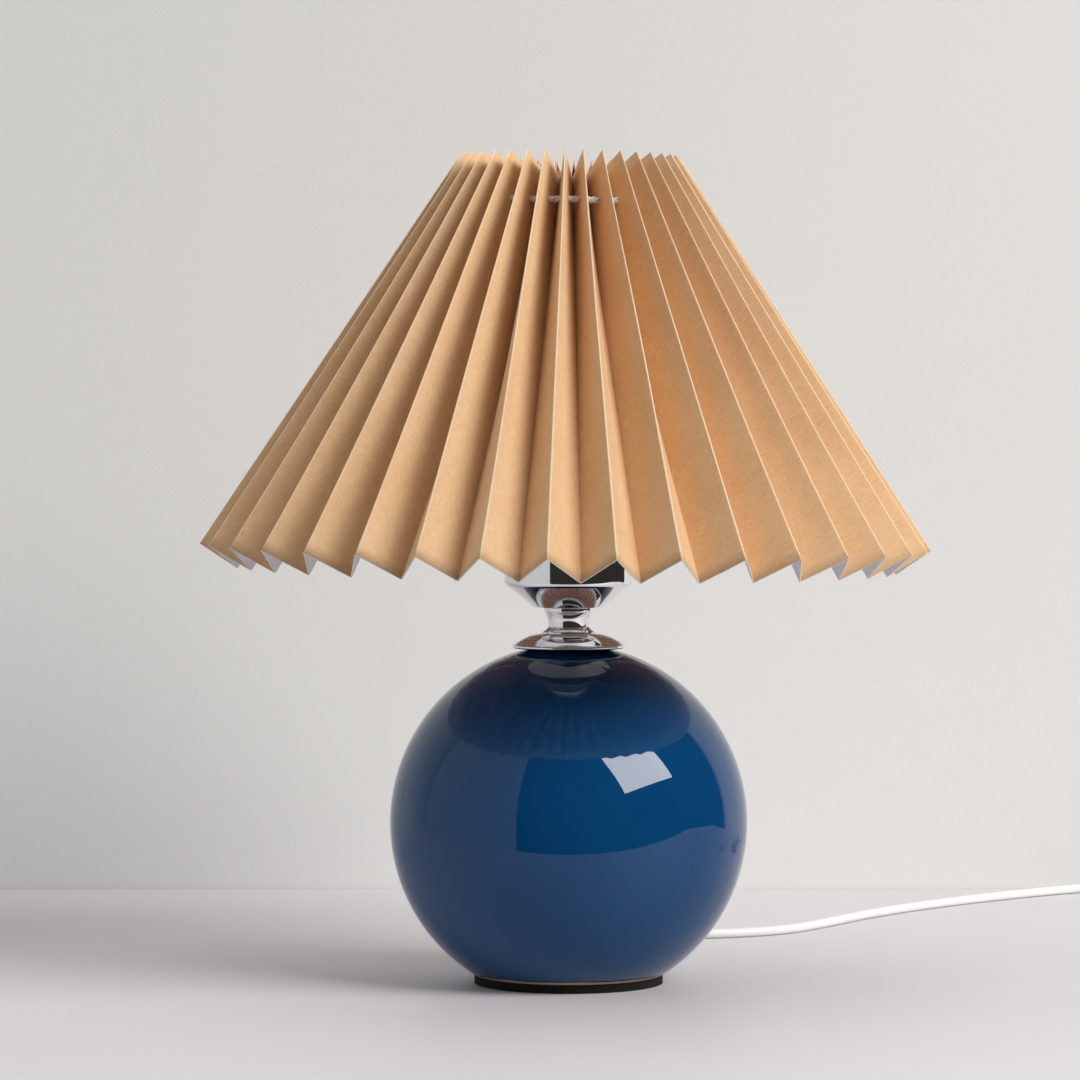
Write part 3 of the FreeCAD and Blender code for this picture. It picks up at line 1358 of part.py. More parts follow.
os.makedirs("parts", exist_ok=True)
for piece in PARTS:
    piece.Shape.exportStep(f"parts/{piece.Label}.step")
print(f"{len(PARTS)} sub-parts written")
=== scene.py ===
import bmesh
import bpy
import numpy as np
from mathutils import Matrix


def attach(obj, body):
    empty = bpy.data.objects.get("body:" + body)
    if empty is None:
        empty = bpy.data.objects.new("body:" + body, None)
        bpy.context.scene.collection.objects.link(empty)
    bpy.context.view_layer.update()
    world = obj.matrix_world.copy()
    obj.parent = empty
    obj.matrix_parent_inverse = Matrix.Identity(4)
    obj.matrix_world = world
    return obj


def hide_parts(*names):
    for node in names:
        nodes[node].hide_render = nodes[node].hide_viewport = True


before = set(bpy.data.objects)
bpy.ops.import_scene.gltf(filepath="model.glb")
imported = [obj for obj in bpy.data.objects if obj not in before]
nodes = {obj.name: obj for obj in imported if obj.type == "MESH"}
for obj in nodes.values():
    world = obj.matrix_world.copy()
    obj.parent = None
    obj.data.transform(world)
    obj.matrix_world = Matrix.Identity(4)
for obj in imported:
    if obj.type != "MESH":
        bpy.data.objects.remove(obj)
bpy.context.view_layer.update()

# ---------------------------------------------------------------------------------------------
# Camera. It stands two metres in front of the lamp, a little above the chrome cup, and looks
# slightly down. The lens is long, so the shade's slanting sides run nearly true.
# ---------------------------------------------------------------------------------------------
lens = bpy.data.cameras.new("camera")
lens.lens = 157.07
lens.sensor_width = 36.0
lens.clip_end = 20.0
camera = bpy.data.objects.new("camera", lens)
camera.location = (-0.012, -1.974, 0.2507)
camera.rotation_euler = (np.radians(90 - 1.88), 0, 0)
bpy.context.collection.objects.link(camera)
bpy.context.scene.camera = camera
bpy.context.scene.view_settings.view_transform = "Standard"


# ---------------------------------------------------------------------------------------------
# Flex. Round two-core flex in white PVC, 4.2 mm across. It leaves the back of the ball, lies in
# a loose curve to the right, runs through a switch and ends in a plug. What the photograph
# doesn't show of it is put away in a round coil beside the switch.
# ---------------------------------------------------------------------------------------------
class Signal:
    """One output of a material's nodes. Arithmetic on it adds Math nodes to that material."""

    def __init__(self, finish, socket):
        self.finish, self.socket = finish, socket

    def math(self, operation, *terms):
        return self.finish.node("ShaderNodeMath", {"operation": operation}, dict(enumerate(terms)))

    def __add__(self, other):
        return self.math("ADD", self, other)

    __radd__ = __add__

    def __mul__(self, other):
        return self.math("MULTIPLY", self, other)

    __rmul__ = __mul__

    def __sub__(self, other):
        return self.math("SUBTRACT", self, other)

    def __rsub__(self, other):
        return self.math("SUBTRACT", other, self)

    def __truediv__(self, other):
        return self.math("DIVIDE", self, other)

    def __pow__(self, other):
        return self.math("POWER", self, other)

    def held(self):
        """The signal held between 0 and 1."""
        return self.math("MINIMUM", self.math("MAXIMUM", self, 0.0), 1.0)


class Finish:
    """A material of nodes round one Principled shader, patterned in metres."""

    def __init__(self, name):
        self.material = bpy.data.materials.new(name)
        self.material.use_nodes = True
        self.tree = self.material.node_tree
        self.shader = self.tree.nodes["Principled BSDF"]
        self.place = self.node("ShaderNodeTexCoord", output="Object")

    def node(self, kind, settings=(), inputs=(), output=0):
        """Add a node: its settings first, then the values or links of its sockets."""
        new = self.tree.nodes.new(kind)
        for name, setting in dict(settings).items():
            setattr(new, name, setting)
        for name, entry in dict(inputs).items():
            self.feed(new.inputs[name], entry)
        return Signal(self, new.outputs[output])

    def feed(self, socket, entry):
        if isinstance(entry, Signal):
            self.tree.links.new(entry.socket, socket)
        else:
            socket.default_value = entry

    def axes(self):
        """The place's X, Y and Z as three signals."""
        split = self.node("ShaderNodeSeparateXYZ", inputs={0: self.place})
        return [Signal(self, output) for output in split.socket.node.outputs]

    def noise(self, size, detail=3.0, roughness=0.5, stretch=(1, 1, 1), place=None):
        """Noise from 0 to 1 whose blotches are about that size, in metres."""
        spread = self.node("ShaderNodeMapping", {"vector_type": "POINT"},
                           {"Vector": place or self.place, "Scale": [factor / size for factor in stretch]})
        return self.node("ShaderNodeTexNoise",
                         inputs={"Vector": spread, "Scale": 1.0, "Detail": detail, "Roughness": roughness})

    def mixed(self, first, second, share):
        """A colour between two colours."""
        first, second = [entry if isinstance(entry, Signal) else (*entry, 1.0) for entry in (first, second)]
        return self.node("ShaderNodeMix", {"data_type": "RGBA"}, {0: share, 6: first, 7: second}, 2)

    def bump(self, height, depth):
        """A normal from a height signal, whose full range is that depth in metres."""
        return self.node("ShaderNodeBump", inputs={"Height": height, "Distance": depth, "Strength": 1.0})

    def shade(self, **sockets):
        """Set the shader's sockets, named with _ for a space."""
        for name, entry in sockets.items():
            socket = self.shader.inputs[name.replace("_", " ")]
            if socket.type == "RGBA" and not isinstance(entry, Signal):
                entry = (*entry, 1.0)
            self.feed(socket, entry)
        return self


def dress(finish, *names):
    """Give CAD nodes a finish."""
    for name in names:
        for slot in nodes[name].material_slots:
            slot.material = finish.material


def white_pvc():
    """Soft white PVC: a faint unevenness of tone and gloss, and a skin that is not quite flat."""
    finish = Finish("white_pvc")
    blotch, skin = finish.noise(0.02), finish.noise(0.0012, 2.0)
    return finish.shade(Base_Color=finish.mixed((0.80, 0.80, 0.80), (0.88, 0.88, 0.87), blotch),
                        Roughness=0.30 + 0.14 * blotch, Subsurface_Weight=0.1,
                        Subsurface_Radius=(0.002, 0.002, 0.002), Normal=finish.bump(skin, 0.00004))


PVC = white_pvc()
FLEX_RADIUS = 0.0021
COIL_CENTRE, COIL_LEVEL = (0.30025, 0.198), 0.00305
COIL_REACH, COIL_PITCH = 0.02775, 0.00475
TO_SWITCH = np.array([
    (0, 81.15, 18.7), (0, 95.15, 18.7), (1, 113, 8), (8, 131, 2.15), (24, 145, 2.15), (48, 153, 2.15),
    (77, 158, 2.15), (101, 172, 2.15), (119, 197, 2.15), (139, 231, 2.15), (165, 266, 2.15),
    (196, 299, 2.15), (228, 328, 2.15), (258, 351, 2.15), (281, 361, 2.15), (304, 358, 2.15),
    (321, 343, 2.15), (328, 321, 4.35), (328, 300, 4.35)]) / 1000
TO_COIL = np.array([(328, 242, 4.35), (328, 228, 4.35), (328, 213, 3.05)]) / 1000
TO_PLUG = np.array([(328, 178, 17.3), (330, 158, 9.8), (328, 138, 6.8), (328, 118, 6.8)]) / 1000


def coil(turns_a_layer=2, layers=4, points_a_turn=24, corner_cut=1.007):
    """The coil's line, clockwise: the radius falls and rises by a pitch a turn, layer by layer.

    Each layer lies one pitch above the last, and the flex climbs to it in the half turn between.
    The curve cuts the corners between its points, so these lie a little further out.
    """
    turn = np.linspace(0, turns_a_layer * layers, turns_a_layer * layers * points_a_turn + 1)
    layer = np.minimum(turn // turns_a_layer, layers - 1)
    within = turn - layer * turns_a_layer
    inwards = np.where(layer % 2 == 0, within, turns_a_layer - within)
    radius = (COIL_REACH - COIL_PITCH * inwards) * corner_cut
    climb = sum(np.clip((turn - turns_a_layer * below + 0.25) / 0.5, 0, 1) for below in range(1, layers))
    return np.stack([COIL_CENTRE[0] + radius * np.cos(2 * np.pi * turn),
                     COIL_CENTRE[1] - radius * np.sin(2 * np.pi * turn),
                     COIL_LEVEL + COIL_PITCH * climb], axis=1)


def flex_run(name, points, resolution):
    """A round bar on a NURBS line whose control points are the route's points."""
    curve = bpy.data.curves.new(name, "CURVE")
    curve.dimensions = "3D"
    spline = curve.splines.new("NURBS")
    spline.points.add(len(points) - 1)
    spline.points.foreach_set("co", np.hstack([points, np.ones((len(points), 1))]).ravel())
    spline.order_u = 3
    spline.use_endpoint_u = True
    spline.resolution_u = resolution
    curve.bevel_depth = FLEX_RADIUS
    curve.bevel_resolution = 4
    curve.use_fill_caps = True
    curve.materials.append(PVC.material)
    piece = bpy.data.objects.new(name, curve)
    bpy.context.collection.objects.link(piece)
    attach(piece, "root")
    return piece


flex_from_base = flex_run("flex_from_base", TO_SWITCH, 12)
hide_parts("flex_to_switch")
flex_put_away = flex_run("flex_put_away", np.vstack([TO_COIL, coil(), TO_PLUG]), 4)
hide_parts("flex_to_coil", "flex_coil", "flex_to_plug")
dress(PVC, "flex_in_tube", "coil_tie")


# ---------------------------------------------------------------------------------------------
# Table, wall and light. A pale table top with rounded edges stands against a matt wall. A large
# soft light to the right of the camera lights them. The room is bright at the left and dim in
# front, and both show in the ball's glaze.
# ---------------------------------------------------------------------------------------------
def surface(name, points, close=(False, False), uv=None, sharp=35, weld=True):
    """A mesh through a grid of points, rows by columns.

    close says whether the rows and the columns run back into themselves. Points that meet, as at
    a pole, are welded, and a closed skin that came out inside out is turned.
    """
    rows, columns = points.shape[:2]
    index = np.arange(rows * columns).reshape(rows, columns)
    if close[0]:
        index = np.vstack([index, index[:1]])
    if close[1]:
        index = np.hstack([index, index[:, :1]])

    def corners(grid):
        return np.stack([grid[:-1, :-1], grid[:-1, 1:], grid[1:, 1:], grid[1:, :-1]], axis=2)

    mesh = bpy.data.meshes.new(name)
    mesh.from_pydata(points.reshape(-1, 3).tolist(), [], corners(index).reshape(-1, 4).tolist())
    if uv is not None:
        mesh.uv_layers.new(name="strip").data.foreach_set("uv", corners(uv).ravel())
    if weld:
        shell = bmesh.new()
        shell.from_mesh(mesh)
        bmesh.ops.remove_doubles(shell, verts=shell.verts, dist=1e-7)
        if shell.calc_volume(signed=True) < 0:
            bmesh.ops.reverse_faces(shell, faces=shell.faces)
        shell.to_mesh(mesh)
        shell.free()
    mesh.polygons.foreach_set("use_smooth", np.ones(len(mesh.polygons), dtype=bool))
    mesh.set_sharp_from_angle(angle=np.radians(sharp))
    piece = bpy.data.objects.new(name, mesh)
    bpy.context.collection.objects.link(piece)
    return piece


def eased(corners, radius, steps=5):
    """A closed outline whose corners are turned into arcs of that radius, or each of its own.

    An arc's centre lies on its corner's bisector, radius / sin(half the angle) away, and its ends
    lie radius / tan(half the angle) along the sides. A radius of 0 keeps the corner.
    """
    corners = np.asarray(corners, float)
    radius = np.broadcast_to(np.asarray(radius, float), len(corners))[:, None]
    before, after = np.roll(corners, 1, axis=0) - corners, np.roll(corners, -1, axis=0) - corners
    before /= np.linalg.norm(before, axis=1, keepdims=True)
    after /= np.linalg.norm(after, axis=1, keepdims=True)
    half = np.arccos(np.clip((before * after).sum(1, keepdims=True), -1, 1)) / 2
    bisector = before + after
    length = np.linalg.norm(bisector, axis=1, keepdims=True)
    bisector = np.divide(bisector, length, out=np.zeros_like(bisector), where=length > 1e-9)
    centre = corners + bisector * radius / np.sin(half)
    start = (corners + before * radius / np.tan(half) - centre)[:, None, :]
    end = (corners + after * radius / np.tan(half) - centre)[:, None, :]
    sweep = np.maximum(np.pi - 2 * half, 1e-6)[:, None, :]
    turn = np.linspace(0, 1, steps)[None, :, None] * sweep
    arcs = centre[:, None, :] + (np.sin(sweep - turn) * start + np.sin(turn) * end) / np.sin(sweep)
    line = arcs.reshape(-1, corners.shape[1])
    return line[np.linalg.norm(line - np.roll(line, 1, axis=0), axis=1) > 1e-7]


def extruded(outline, start, end, steps):
    """A closed outline in the YZ plane carried along X."""
    along = np.linspace(start, end, steps)
    points = np.empty((steps, len(outline), 3))
    points[..., 0], points[..., 1:] = along[:, None], outline[None]
    return points


TABLE_FRONT, TABLE_BACK, TABLE_UNDERSIDE, TABLE_END = -0.30, 0.366, -0.035, 1.7
table_edge = eased([(TABLE_FRONT, 0), (TABLE_BACK, 0),
                    (TABLE_BACK, TABLE_UNDERSIDE), (TABLE_FRONT, TABLE_UNDERSIDE)], 0.002)
slab = extruded(table_edge, -TABLE_END, TABLE_END, 5)
slab_core = np.broadcast_to(slab.mean(axis=1, keepdims=True), slab.shape)
table = surface("table", np.concatenate([slab_core[:1], slab, slab_core[-1:]]), (False, True))
lacquer = Finish("table_top")
lacquer.shade(Base_Color=lacquer.mixed((0.70, 0.665, 0.68), (0.74, 0.71, 0.725), lacquer.noise(0.12, 4.0)),
              Roughness=0.5, Specular_IOR_Level=0.3, Normal=lacquer.bump(lacquer.noise(0.0008, 2.0), 0.00002))
table.data.materials.append(lacquer.material)

# The wall is one face that is seen from the front alone, so it hides nothing from behind.
WALL_FACE, WALL_ENDS, WALL_LEVELS = 0.3665, (-1.7, 0.72), (-0.4, 1.3)
wall_x, wall_z = np.meshgrid(np.linspace(*WALL_ENDS, 3), np.linspace(*WALL_LEVELS, 3))
wall = surface("wall", np.stack([wall_x, np.full_like(wall_x, WALL_FACE), wall_z], axis=-1), weld=False)
paint = Finish("wall_paint")
from_behind = paint.node("ShaderNodeNewGeometry", output=6)
paint.shade(Base_Color=paint.mixed((0.77, 0.775, 0.765), (0.81, 0.815, 0.80), paint.noise(0.3, 4.0)),
            Roughness=0.9, Specular_IOR_Level=0.1, Alpha=1.0 - from_behind,
            Normal=paint.bump(paint.noise(0.001, 3.0), 0.0001))
wall.data.materials.append(paint.material)

# The light is a glowing sheet of 3.98 by 1.8 m. It stands turned and tilted, so its reflection in
# the glaze is a small slanting patch.
softbox = bpy.data.lights.new("softbox", "AREA")
softbox.shape = "RECTANGLE"
softbox.size, softbox.size_y = 3.98, 1.8
softbox.energy = 300
softbox.color = (1.0, 0.985, 0.96)
softbox_stand = bpy.data.objects.new("softbox", softbox)
softbox_stand.location = (3.40, -1.92, 2.77)
softbox_stand.rotation_euler = np.radians((90, -19.1, 19.4))
bpy.context.collection.objects.link(softbox_stand)

room = bpy.data.worlds.new("room")
room.use_nodes = True
bpy.context.scene.world = room
tree = room.node_tree


def room_node(kind, settings=(), inputs=()):
    """Add a node to the room: its settings first, then the values or links of its sockets."""
    new = tree.nodes.new(kind)
    for name, setting in dict(settings).items():
        setattr(new, name, setting)
    for name, entry in dict(inputs).items():
        if isinstance(entry, bpy.types.NodeSocket):
            tree.links.new(entry, new.inputs[name])
        else:
            new.inputs[name].default_value = entry
    return new


def step(signal, edge, width):
    """0 below the edge and 1 above it, with a soft change of that width."""
    return room_node("ShaderNodeMapRange", {"clamp": True},
                     {0: signal, 1: edge - width / 2, 2: edge + width / 2}).outputs[0]


def worked(operation, first, second=0.0):
    """One sum of the room's values."""
    return room_node("ShaderNodeMath", {"operation": operation}, {0: first, 1: second}).outputs[0]


def blend(share, first, second):
    """A colour of the room between two colours."""
    first, second = [(*entry, 1.0) if isinstance(entry, tuple) else entry for entry in (first, second)]
    return room_node("ShaderNodeMix", {"data_type": "RGBA"}, {0: share, 6: first, 7: second}).outputs[2]


# The dim zone spans 34 degrees to the left of the front and 119 to its right, up to 60 degrees.
DIM_LEFT, DIM_RIGHT, DIM_TOP = np.radians((-34, 119, 60))
aim = room_node("ShaderNodeSeparateXYZ", inputs={0: room_node("ShaderNodeTexCoord").outputs["Generated"]})
azimuth = worked("ARCTAN2", aim.outputs["X"], worked("MULTIPLY", aim.outputs["Y"], -1.0))
altitude = worked("ARCSINE", aim.outputs["Z"])
overhead = step(altitude, DIM_TOP, 0.2)
past_left, past_right = step(azimuth, DIM_LEFT, 0.03), step(azimuth, DIM_RIGHT, 0.04)
in_front = worked("MULTIPLY", past_left, worked("SUBTRACT", 1.0, past_right))
dim = worked("MULTIPLY", in_front, worked("SUBTRACT", 1.0, overhead))
bright_sides = blend(overhead, (0.60, 0.61, 0.62), (1.00, 1.02, 1.05))
surroundings = blend(dim, bright_sides, (0.030, 0.027, 0.024))
backdrop = blend(room_node("ShaderNodeLightPath").outputs["Is Camera Ray"], surroundings, (0.62, 0.61, 0.595))
tree.links.new(backdrop, tree.nodes["Background"].inputs["Color"])


# ---------------------------------------------------------------------------------------------
# Strain relief. A tapered sleeve of soft white PVC, moulded on the flex and pressed into the
# hole low in the back of the ball. Grooves round its tail let it bend.
# ---------------------------------------------------------------------------------------------
def turned(name, outline, body, finish, columns, axis="Z", at=(0, 0, 0)):
    """A closed outline of (radius, distance) carried round the lamp's axis, or round Y."""
    angle = np.linspace(0, 2 * np.pi, columns, endpoint=False)
    radius, along = outline[:, :1], np.broadcast_to(outline[:, 1:], (len(outline), columns))
    across, up = radius * np.cos(angle), radius * np.sin(angle)
    points = np.stack([across, up, along] if axis == "Z" else [across, along, up], axis=-1) + np.array(at)
    return ready(surface(name, points, (True, True)), body, finish)


def ready(piece, body, finish):
    """Give a piece its body and its finish."""
    piece.data.materials.append(finish.material)
    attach(piece, body)
    return piece


RELIEF_LEVEL, RELIEF_BORE, RELIEF_RADIUS = 0.0187, 0.00215, 0.0045
TAPER_START, TAPER_LENGTH, TAPER = 0.05912, 0.0214, 0.0015
GROOVE_START, GROOVE_PITCH, GROOVE_DEPTH, GROOVES = 0.06192, 0.0026, 0.00055, 6
tail = np.linspace(0.06092, 0.07892, 145)
groove = 0.5 - 0.5 * np.cos(2 * np.pi * np.clip((tail - GROOVE_START) / GROOVE_PITCH, 0, GROOVES))
tail_radius = RELIEF_RADIUS - (tail - TAPER_START) / TAPER_LENGTH * TAPER - GROOVE_DEPTH * groove ** 3
relief_line = np.vstack([
    [(RELIEF_BORE, 0.04515), (0.0041, 0.04515), (RELIEF_RADIUS, 0.04555), (RELIEF_RADIUS, 0.05892)],
    np.stack([tail_radius, tail], axis=1),
    [(0.0030, 0.08052), (0.0026, 0.08112), (RELIEF_BORE, 0.08112)]])
relief = turned("relief_sleeve", relief_line, "root", PVC, 64, "Y", (0, 0, RELIEF_LEVEL))
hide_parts("strain_relief")


# ---------------------------------------------------------------------------------------------
# In-line switch. Two moulded halves of white PVC, screwed together from below over brass strips,
# with a ribbed rocker on a steel pin. The flex passes through it 0.5 m from the base.
# ---------------------------------------------------------------------------------------------
def moulded_white():
    """Harder moulded white: satin, with the faint grain of a spark-eroded mould."""
    finish = Finish("moulded_white")
    grain, blotch = finish.noise(0.0005, 2.0), finish.noise(0.03)
    return finish.shade(Base_Color=finish.mixed((0.80, 0.80, 0.79), (0.86, 0.86, 0.85), blotch),
                        Roughness=0.38 + 0.08 * grain, Normal=finish.bump(grain, 0.00003))


def plated(name, colour, roughness, size, depth):
    """Plated or rolled metal: fine streaks of gloss in one direction and a trace of tarnish."""
    finish = Finish(name)
    streak, stain = finish.noise(size, 4.0, 0.6, (1, 1, 0.12)), finish.noise(0.012, 4.0, 0.6)
    dull = [0.82 * part for part in colour]
    return finish.shade(Base_Color=finish.mixed(dull, colour, stain), Metallic=1.0,
                        Roughness=roughness + 0.12 * streak + 0.06 * stain, Normal=finish.bump(streak, depth))


MOULDED = moulded_white()
ZINC = plated("zinc_steel", (0.66, 0.66, 0.64), 0.26, 0.0008, 0.00001)
BRASS = plated("brass", (0.83, 0.62, 0.30), 0.20, 0.0006, 0.000008)
dress(MOULDED, "switch_base", "switch_cover", "switch_rocker")
dress(ZINC, "rocker_pin", "switch_screws")
dress(BRASS, "switch_contacts")


# ---------------------------------------------------------------------------------------------
# Plug. A flat two-pin plug, moulded in white PVC round the flex's end: a round tail that widens
# to a broad face, with finger ridges on both sides. Its round pins are sleeved but for the tips.
# ---------------------------------------------------------------------------------------------
PLUG_X, PLUG_TAIL_Y, PLUG_LEVEL = 0.328, 0.118, 0.0068
TAIL_RADIUS, FACE_HALF_WIDTH, FACE_HALF_HEIGHT = 0.0040, 0.0175, 0.0068
RIDGES_START, RIDGES_LENGTH, RIDGES, RIDGE_DEPTH = 0.010, 0.016, 5, 0.0004


def plug_shell():
    """Rings |x/a|^n + |z/b|^n = 1 along Y: a round tail's n of 2 rises to 4.5 at the broad face.

    Half width a and half height b grow along an S curve, and b dips by a sine between the ridges.
    """
    back = np.concatenate([[0, 0.0006], np.linspace(0.002, 0.0285, 90), np.linspace(0.029, 0.0372, 14),
                           [0.038, 0.038]])
    grown = np.clip((back - 0.002) / 0.027, 0, 1)
    grown = grown * grown * (3 - 2 * grown)
    ridge_turn = np.clip((back - RIDGES_START) / RIDGES_LENGTH, 0, 1) * RIDGES * 2 * np.pi
    dip = np.sin(ridge_turn - np.pi / 2) * 0.5 + 0.5
    half_width = TAIL_RADIUS + (FACE_HALF_WIDTH - TAIL_RADIUS) * grown
    half_height = TAIL_RADIUS + (FACE_HALF_HEIGHT - TAIL_RADIUS) * grown - RIDGE_DEPTH * dip * (grown > 0.2)
    eased_ends = np.ones_like(back)
    eased_ends[[0, 1, -2, -1]] = 0.80, 0.97, 0.965, 0.0
    power = (2 + 2.5 * grown)[:, None]
    angle = np.linspace(0, 2 * np.pi, 96, endpoint=False)
    cosine, sine = np.cos(angle), np.sin(angle)
    across = np.sign(cosine) * np.abs(cosine) ** (2 / power) * (half_width * eased_ends)[:, None]
    up = np.sign(sine) * np.abs(sine) ** (2 / power) * (half_height * eased_ends)[:, None]
    along = np.broadcast_to(PLUG_TAIL_Y - back[:, None], across.shape)
    rings = np.stack([PLUG_X + across, along, PLUG_LEVEL + up], axis=-1)
    tail_end = np.broadcast_to([[[PLUG_X, PLUG_TAIL_Y, PLUG_LEVEL]]], (1, *rings.shape[1:]))
    return np.concatenate([tail_end, rings])


plug = ready(surface("plug_moulding", plug_shell(), (False, True)), "root", PVC)
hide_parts("plug_body")

PIN_METAL = plated("pin_metal", (0.78, 0.76, 0.72), 0.14, 0.0005, 0.000005)
PIN_SPACING, PIN_STEM, PIN_RADIUS, PIN_EASE = 0.0186, 0.0015, 0.0020, 0.0008
nose = np.linspace(0, np.pi / 2, 9)
pin_line = np.vstack([
    [(0, 0.088), (PIN_STEM, 0.088), (PIN_STEM, 0.070), (PIN_RADIUS, 0.070)],
    np.stack([PIN_RADIUS - PIN_EASE + PIN_EASE * np.cos(nose), 0.0618 - PIN_EASE * np.sin(nose)], axis=1),
    [(0, 0.061)]])
plug_pair = [turned(f"pin_{side}", pin_line, "root", PIN_METAL, 48, "Y",
                    (PLUG_X + offset, 0, PLUG_LEVEL))
             for side, offset in (("left", -PIN_SPACING / 2), ("right", PIN_SPACING / 2))]
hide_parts("plug_pins")
dress(PVC, "pin_sleeves")


# ---------------------------------------------------------------------------------------------
# Wires. The flex's two cores in brown and blue PVC: up to the lampholder's terminals, and
# through the switch, where only the live one is cut.
# ---------------------------------------------------------------------------------------------
def insulation(name, dark, light):
    """Thin coloured PVC: satin, faintly blotched."""
    finish = Finish(name)
    blotch = finish.noise(0.004)
    return finish.shade(Base_Color=finish.mixed(dark, light, blotch), Roughness=0.32 + 0.1 * blotch,
                        Normal=finish.bump(finish.noise(0.0006, 2.0), 0.00002))


dress(insulation("brown_wire", (0.13, 0.055, 0.025), (0.19, 0.085, 0.04)), "live_wire")
dress(insulation("blue_wire", (0.02, 0.09, 0.32), (0.04, 0.15, 0.42)), "neutral_wire", "switch_wires")


# ---------------------------------------------------------------------------------------------
# Foot pad. A disc of black felted foam, glued under the ball so that it doesn't slide or mark
# the table. Its cut edge is fuzzy and its face is matted fibre.
# ---------------------------------------------------------------------------------------------
def felt():
    """Black matted fibre: no gloss, clumps and single fibres that catch a little light."""
    finish = Finish("felt_pad")
    fibre, clump = finish.noise(0.0004, 4.0, 0.75), finish.noise(0.0025, 3.0, 0.6)
    black = finish.mixed((0.004, 0.004, 0.004), (0.020, 0.019, 0.018), fibre * clump * 1.6)
    return finish.shade(Base_Color=black, Roughness=0.96, Specular_IOR_Level=0.15, Sheen_Weight=0.04,
                        Sheen_Roughness=0.6, Normal=finish.bump(fibre + 0.7 * clump, 0.0004))


dress(felt(), "foot_pad")


# ---------------------------------------------------------------------------------------------
# Ball. Slip-cast earthenware, 150 mm across with a 5 mm wall, dipped in a deep blue glaze. The
# glaze stops just short of the foot and leaves a thin line of bare tan clay there.
# ---------------------------------------------------------------------------------------------
def arc(start, end, radius, steps):
    """Points from start to end on an arc whose centre lies left of its chord for a radius over 0."""
    start, end = np.array(start, float), np.array(end, float)
    chord = end - start
    half = np.linalg.norm(chord) / 2
    left = np.array([-chord[1], chord[0]]) / (2 * half) * np.sign(radius)
    centre = (start + end) / 2 + left * np.sqrt(radius * radius - half * half)
    first, last = np.arctan2(*(start - centre)[::-1]), np.arctan2(*(end - centre)[::-1])
    angle = first + ((last - first + np.pi) % (2 * np.pi) - np.pi) * np.linspace(0, 1, steps)
    return centre + abs(radius) * np.stack([np.cos(angle), np.sin(angle)], axis=1)


GLAZE_EDGE, SOFT_EDGE = 0.0045, 4000.0


def blue_glaze():
    """Deep blue under a clear glass skin: its tone pools and varies, and it lies in slow waves."""
    finish = Finish("blue_glaze")
    height = finish.axes()[2]
    wobble, depth, pool = finish.noise(0.011, 2.0), finish.noise(0.05, 3.0), finish.noise(0.0035, 3.0, 0.6)
    bare = ((GLAZE_EDGE + 0.0009 * wobble - height) * SOFT_EDGE).held()
    blue = finish.mixed((0.0012, 0.040, 0.135), (0.0025, 0.066, 0.195), (0.55 * depth + 0.35 * pool).held())
    clay = finish.mixed((0.40, 0.27, 0.15), (0.52, 0.38, 0.23), finish.noise(0.001, 3.0))
    waves, skin = finish.noise(0.022, 1.5), finish.noise(0.0022, 2.0)
    return finish.shade(Base_Color=finish.mixed(blue, clay, bare), Roughness=0.9, Specular_IOR_Level=0.0,
                        Coat_Weight=1.0 - bare, Coat_Roughness=0.02, Coat_IOR=1.42,
                        Normal=finish.bump(waves + 0.03 * skin, 0.00008))


PAD_TOP, BALL_RADIUS, BALL_INNER_RADIUS = 0.0037, 0.0750, 0.0700
ball_line = np.vstack([
    eased([(0.030, 0.0117), (0.030, PAD_TOP), (0.0397, PAD_TOP), (0.0412, 0.0046)], (0, 0.0006, 0.0006, 0))[:-1],
    arc((0.0412, 0.0046), (0.0153, 0.14069), BALL_RADIUS, 120),
    arc((0.0149, 0.14065), (0.0120, 0.14049), 0.0200, 3),
    arc((0.0120, 0.13623), (0.04840, 0.0167), -BALL_INNER_RADIUS, 60),
    [(0.020, 0.0167), (0.020, 0.0117)]])
ball = turned("glazed_ball", ball_line, "root", blue_glaze(), 256)
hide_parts("ball_base")


# ---------------------------------------------------------------------------------------------
# Clamping rod. A threaded steel tube runs from under the ball to the lampholder. A plate, a
# washer and a nut pull on it from below, and a nut in the cup from above. All are zinc plated.
# ---------------------------------------------------------------------------------------------
def threaded(finish, pitch, low, high, inner, outer, depth):
    """A thread's bump between two heights and two radii: a wave of height less turn, in pitches."""
    x, y, z = finish.axes()
    turn = y.math("ARCTAN2", y, x) / (2 * np.pi)
    wave = z.math("SINE", (z / pitch - turn) * (2 * np.pi))
    radius = (x * x + y * y) ** 0.5
    where = (((z - low) * 5000.0).held() * ((high - z) * 5000.0).held()
             * ((radius - inner) * 20000.0).held() * ((outer - radius) * 20000.0).held())
    return finish.bump(wave * where, depth)


ROD_STEEL = plated("rod_steel", (0.68, 0.67, 0.64), 0.24, 0.0008, 0.00001)
ROD_STEEL.shade(Normal=threaded(ROD_STEEL, pitch=0.001, low=0.0, high=0.2, inner=0.0046, outer=0.006,
                                depth=0.0003))
dress(ROD_STEEL, "threaded_tube")
dress(ZINC, "bottom_plate", "lock_washer", "bottom_nut", "cup_nut")


